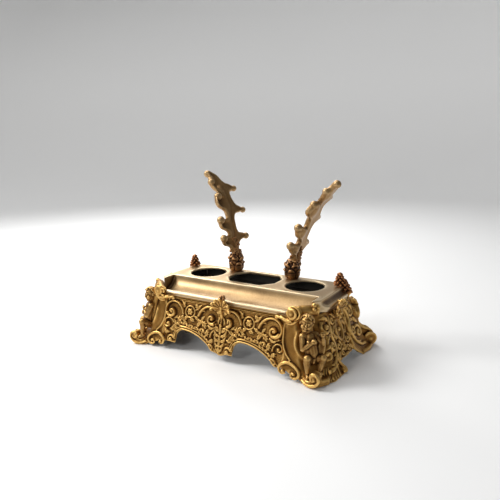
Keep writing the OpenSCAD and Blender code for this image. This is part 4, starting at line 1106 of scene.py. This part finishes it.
def budShapes():
    def around(a, out, z):
        return out * math.cos(a), out * math.sin(a), z

    shapes = [tube([(0, 0, z) for z in (0.1, 3, 8, 14, 19, 26.5)], bud["stem"], 24)]
    for k in range(bud["petals"]):
        for out, z, size, shift in bud["rows"]:
            a = 2 * math.pi * (k + shift) / bud["petals"]
            turn = Matrix.Rotation(a, 4, "Z")
            shapes.append(ball(around(a, out, z), size, (0.66, 1.02, 1.16), turn))
            lip = [around(a + b, 10.5 - 6 * b * b, z + 4.8 - 14 * b * b) for b in np.linspace(-0.46, 0.46, 9)]
            shapes.append(tube(lip, bud["lip"], 8))
    for k in range(bud["rimCrumbs"]):
        a, z = rng.uniform(0, 2 * math.pi), rng.uniform(17.5, 23.5)
        shapes.append(ball(around(a, 10.4 - 0.5 * (z - 17), z), rng.uniform(1.0, 1.8), rows=5))
    for k in range(bud["stemCrumbs"]):
        a, z = rng.uniform(0, 2 * math.pi), rng.uniform(22, 26)
        shapes.append(ball(around(a, 6.2, z), rng.uniform(0.9, 1.5), rows=5))
    return shapes


def stoodAt(side, place, shapes):
    # stands shapes drawn for the right side at their place on the plate, or at its mirror
    spot = np.array([side * place["x"], place["y"], stands["plateTop"]])
    return moved(shapes if side > 0 else turned(shapes, (-1, 1)), spot)


# pen rests: a lobed leaf on a path of height and outward reach; cup and channel hollow its front
penRest = {
    "path": ((14, 0), (22, 0), (36, 2), (53, 6), (70, 10.7), (87, 15.7), (103, 22.3), (118, 31.2),
             (129, 40.4), (140, 50.5), (150, 60)),
    # sideways, height and radius of the stem, then of each lobe; the first lobes are cupped
    "stem": ((0, 22, 7), (-1, 36, 8), (1.5, 52, 8.6), (1.2, 66, 7.6), (3.5, 80, 7.5), (6.5, 91, 9.4),
             (5.5, 106, 7.6), (4.5, 117, 7.6), (1, 128, 7.2), (-4.6, 135.4, 6.4)),
    "lobes": (((-5, 42, 8.4), (-14.5, 44.5, 7.6), (-20.2, 48.6, 6.4)),
              ((-4, 63, 9), (-13.2, 68, 8.4), (-18.2, 73.4, 6.6)),
              ((2, 93, 11), (-8.4, 98, 9.8), (-9.4, 105, 6.6)),
              ((2, 117, 8), (-3.4, 120.5, 7.4), (-8.6, 124.4, 6)),
              ((7, 46.6, 9), (15, 47.8, 5.4), (22.4, 46.4, 5.2)),
              ((7, 87, 10.4), (17.4, 85, 5.8), (27.4, 82.4, 4.8)),
              ((5.4, 113.6, 9.2), (15, 114.6, 5.8), (24.6, 112.4, 4.8))),
    "cupped": 4, "skew": 11, "edge": 2.3, "ease": 3.4, "thick": 3.4, "rim": 0.9, "cup": 1.6, "bulge": 3.6,
    "channel": 0.8, "curl": 3.0, "tip": ((48.0, -5.2, 135.6), 5.1),
    "neck": ((0, 0, 24), (0.6, 0, 30), (2.6, -0.6, 40), (4.6, 0, 48)), "neckRadii": (6.2, 5.6, 4.4, 2.6),
    "crumbs": 90, "pitch": 0.6, "voxel": 0.5,
}


def inField(s, z, lines, blend=2.5):
    total = np.zeros_like(s)
    for line in lines:
        for a, b in zip(line, line[1:]):
            a, b = np.array(a, float), np.array(b, float)
            ab = b[:2] - a[:2]
            t = np.clip(((s - a[0]) * ab[0] + (z - a[1]) * ab[1]) / (ab @ ab), 0, 1)
            gap = np.hypot(s - a[0] - t * ab[0], z - a[1] - t * ab[1])
            total += np.exp(np.clip((a[2] + (b[2] - a[2]) * t - gap) / blend, -30, 30))
    return blend * np.log(total + 1e-12)


def stemAt(z):
    return np.interp(z, [p[1] for p in penRest["stem"]], [p[0] for p in penRest["stem"]])


def restPoint(s, z, off):
    # the leaf's middle surface, moved off along its normal; the tips of the lobes roll inward
    height = np.array([p[0] for p in penRest["path"]], float)
    reach = np.array([p[1] for p in penRest["path"]], float)
    x = np.interp(z, height, reach)
    slope = (np.interp(z + 2, height, reach) - np.interp(z - 2, height, reach)) / 4
    roll = np.clip((np.abs(s - stemAt(z)) - 8) / 14, 0, 1)
    off = off - penRest["curl"] * roll * roll
    size = np.sqrt(1 + slope ** 2)
    return np.stack([x + off / size, s + 0 * x, z - off * slope / size], axis=-1)


def restShapes(look):
    s, z = np.meshgrid(np.arange(-28, 36, look["pitch"]), np.arange(15, 146, look["pitch"]))
    deep = inField(s, z, (look["stem"],) + look["lobes"]) - look["edge"]
    halfThick = look["thick"] * np.sqrt(1 - (1 - np.clip(deep / look["ease"], 0.008, 1)) ** 2)
    rim = look["rim"] * np.exp(-((deep - 1.7) / 1.0) ** 2)
    cup = np.zeros_like(s)
    for line in look["lobes"][:look["cupped"]]:
        gap = np.hypot(s - line[1][0], z - line[1][1])
        cup = np.maximum(cup, np.exp(-(gap / (0.9 * line[1][2])) ** 2))
    # the cupped lobes swell outward behind and are hollow in front
    swell = look["bulge"] * cup
    channel = look["channel"] * np.exp(-((s - stemAt(z)) / 2.6) ** 2)
    outer = restPoint(s, z, halfThick + rim + swell)
    dish = look["cup"] * cup * np.clip(deep / look["ease"], 0, 1) + channel * (deep > 3)
    inner = restPoint(s, z, swell - (halfThick + rim - dish))
    rows, cols = s.shape
    solid = deep > 0
    cell = solid[:-1, :-1] & solid[1:, :-1] & solid[:-1, 1:] & solid[1:, 1:]
    index = np.arange(rows * cols).reshape(rows, cols)
    far = rows * cols
    faces = []
    for r, c in zip(*np.nonzero(cell)):
        a, b, d, e = index[r, c], index[r, c + 1], index[r + 1, c + 1], index[r + 1, c]
        faces.append((a, b, d, e))
        faces.append((far + e, far + d, far + b, far + a))
        # the edge is closed wherever the next cell is empty
        for i, j, m, n in ((r - 1, c, a, b), (r, c + 1, b, d), (r + 1, c, d, e), (r, c - 1, e, a)):
            if not (0 <= i < rows - 1 and 0 <= j < cols - 1 and cell[i, j]):
                faces.append((n, m, far + m, far + n))
    used = sorted({v for face in faces for v in face})
    place = {v: k for k, v in enumerate(used)}
    points = np.vstack([outer.reshape(-1, 3), inner.reshape(-1, 3)])[used]
    shapes = [(points, [tuple(place[v] for v in face) for face in faces])]
    for across, height, size in [line[-1] for line in look["lobes"]]:
        tip = restPoint(np.array(across), np.array(height), 0.0)
        shapes.append(ball(tip, size * (0.86 if across < 0 else 0.92)))
    shapes.append(ball(*look["tip"]))
    shapes.append(tube(look["neck"], look["neckRadii"], 16))
    return shapes


def crumbShapes(look):
    # a crust of crumbs climbs from the bud up the foot of the leaf
    shapes = []
    for k in range(look["crumbs"]):
        z = 20 + 28 * rng.random() ** 1.15
        share = (z - 20) / 28
        s, size = rng.uniform(-1, 1) * (8.4 - 4.2 * share), rng.uniform(1.3, 2.3) * (1 - 0.3 * share)
        off = rng.choice([-1, 1]) * (5.4 - 1.0 * share) * math.sqrt(max(0.3, 1 - (s / 11) ** 2))
        shapes.append(ball(restPoint(np.array(s), np.array(z), off), size, rows=5))
    return shapes


def makeRest(name, side, turn, lean):
    stand = Matrix.Rotation(math.radians(lean), 4, "Y") \
        @ Matrix.Rotation(math.radians(penRest["skew"] + turn), 4, "Z")
    shapes = allPlaced(restShapes(penRest), stand)
    finishPiece(cast("penRest" + name, stoodAt(side, stands, shapes), penRest["voxel"], 2, 1.0), "paleGilt",
                ["rest_arm_" + name.lower()])
    shapes = budShapes() + allPlaced(crumbShapes(penRest), stand)
    finishPiece(cast("bud" + name, stoodAt(side, stands, shapes), bud["voxel"], 1, 0.45), "darkBronze",
                ["rest_socket_" + name.lower()])


makeRest("Left", -1, 0, 0)
makeRest("Right", 1, -13, 8)
print("pen rests cast")

# crests over the friezes: a fluted fan and a bunch of berries
crest = {"seat": 65.0, "blades": 7, "spread": 72, "blade": 13.2, "steps": (0, 0.35, 0.7, 0.92, 1.08),
         "radii": (1.0, 2.4, 3.1, 2.7, 1.5), "rib": (0.4, 0.7, 0.7, 0.5), "berries": 22, "sideBerries": 5,
         "voxel": 0.4}


def crestFrame(side):
    if side == 0:
        return Matrix.Translation((2, -body["halfDepth"] - 0.02, 0))
    spot = Matrix.Translation((side * (body["halfLength"] + 0.02), 3, 0))
    return spot @ Matrix.Rotation(math.radians(90 * side), 4, "Z")


def makeCrest(name, node, side):
    seat, shapes = crest["seat"], []
    for k in range(crest["blades"]):
        a = math.radians(crest["spread"] * (2 * k / (crest["blades"] - 1) - 1))
        long = crest["blade"] * (1 - 0.04 * abs(a))
        fan = []
        for t in crest["steps"]:
            bent = a * (1 + 0.2 * t ** 3)
            fan.append((long * t * math.sin(bent), -2.2 - 2.8 * t ** 2.5, seat + long * t * math.cos(bent)))
        x, y, z = fan[-1]
        shapes += [tube(fan, crest["radii"], 10, 0.62, (0, -1, 0)),
                   tube(np.array(fan) + (0, -1.5, 0), crest["rib"], 6), ball((x, y - 0.6, z - 0.6), 2.1)]
    for s in (-1, 1):
        shapes += volute((s * 6.2, -2.2, seat - 4.4), 3.3, (1, 0, 0), (0, 0, 1), s, 60, 430, 1.0)
    shapes += [tube([(0, -3.2, seat + 3), (0, -3.6, seat - 3), (0, -2.2, seat - 11)], [2.2, 2.4, 1.2], 10),
               ball((0, -4.2, seat - 2.6), 2.6)]
    grapes = [ball((1.2 + rng.uniform(-3.2, 3.2), -2.2 + rng.uniform(-2.0, 2.0), seat + 13 + h),
                   rng.uniform(1.3, 2.0), rows=6) for h in np.linspace(-2.5, 5.0, crest["berries"])]
    stand = crestFrame(side)
    if side == 0:
        bunch = cast(name + "Berries", grapes, 0.35, 1, 0.4)
        bunch.data.transform(Matrix.Translation(stand.to_translation() * mm))
        finishPiece(bunch, "darkBronze", [node])
    else:
        shapes += grapes[:crest["sideBerries"]]
    finishPiece(cast(name, allPlaced(shapes, stand), crest["voxel"], 1, 0.45), "gilt", [node])


makeCrest("crestFront", "crest_front", 0)
makeCrest("crestLeft", "crest_left", -1)
makeCrest("crestRight", "crest_right", 1)

# finials on the back corners: tiers of scales; towers are place and size
finial = {"x": 115.5, "y": 37, "height": 18, "scales": 6, "voxel": 0.38,
          "towers": ((0, 0, 0, 1.0), (4.4, 3.6, -5.5, 0.82), (7.4, 6.2, -9.5, 0.66))}


def finialShapes():
    shapes = [tube([(0, 0, 0.05), (0, 0, 1.6)], [4.6, 4.2], 20)]
    for x, y, z, size in finial["towers"]:
        tall, broad = finial["height"] * size, 0.5 + 0.5 * size
        shapes.append(tube([(x, y, z + tall * t) for t in (0.02, 0.5, 0.93)],
                           [3.2 * size, 2.2 * size, 0.8 * size], 12))
        tiers = 5 if size > 0.8 else 3
        for tier in range(tiers):
            share = tier / (tiers - 1)
            wide = (7.6 - 4.6 * share) * broad
            height = z + tall * (0.14 + 0.68 * share)
            for k in range(finial["scales"]):
                a = 2 * math.pi * (k + 0.5 * tier) / finial["scales"]
                out = np.array([math.cos(a), math.sin(a), 0])
                base = np.array([x, y, height + 0.9])
                tip = base + out * wide - np.array([0, 0, 0.8])
                shapes += bone(base + out * wide * 0.35, 1.9 * broad, tip, 1.35, 8)
        shapes.append(ball((x, y, z + tall * 0.93), 1.3 * broad))
    return shapes


for side, name in ((-1, "Left"), (1, "Right")):
    shapes = stoodAt(side, finial, finialShapes())
    finishPiece(cast("berries" + name, shapes, finial["voxel"], 1, 0.4), "redBronze",
                ["finial_" + name.lower()])
print("crests and finials cast")

# nodes that keep their solids and only get a finish
fixings = {"iron": ("putto_nuts", "rest_washers", "rest_nuts", "panel_screws", "plate_screws"),
           "gilt": ("crest_rivets",)}
for finish, nodes in fixings.items():
    for node in nodes:
        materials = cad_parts[node].data.materials
        materials.clear()
        materials.append(metal[finish])
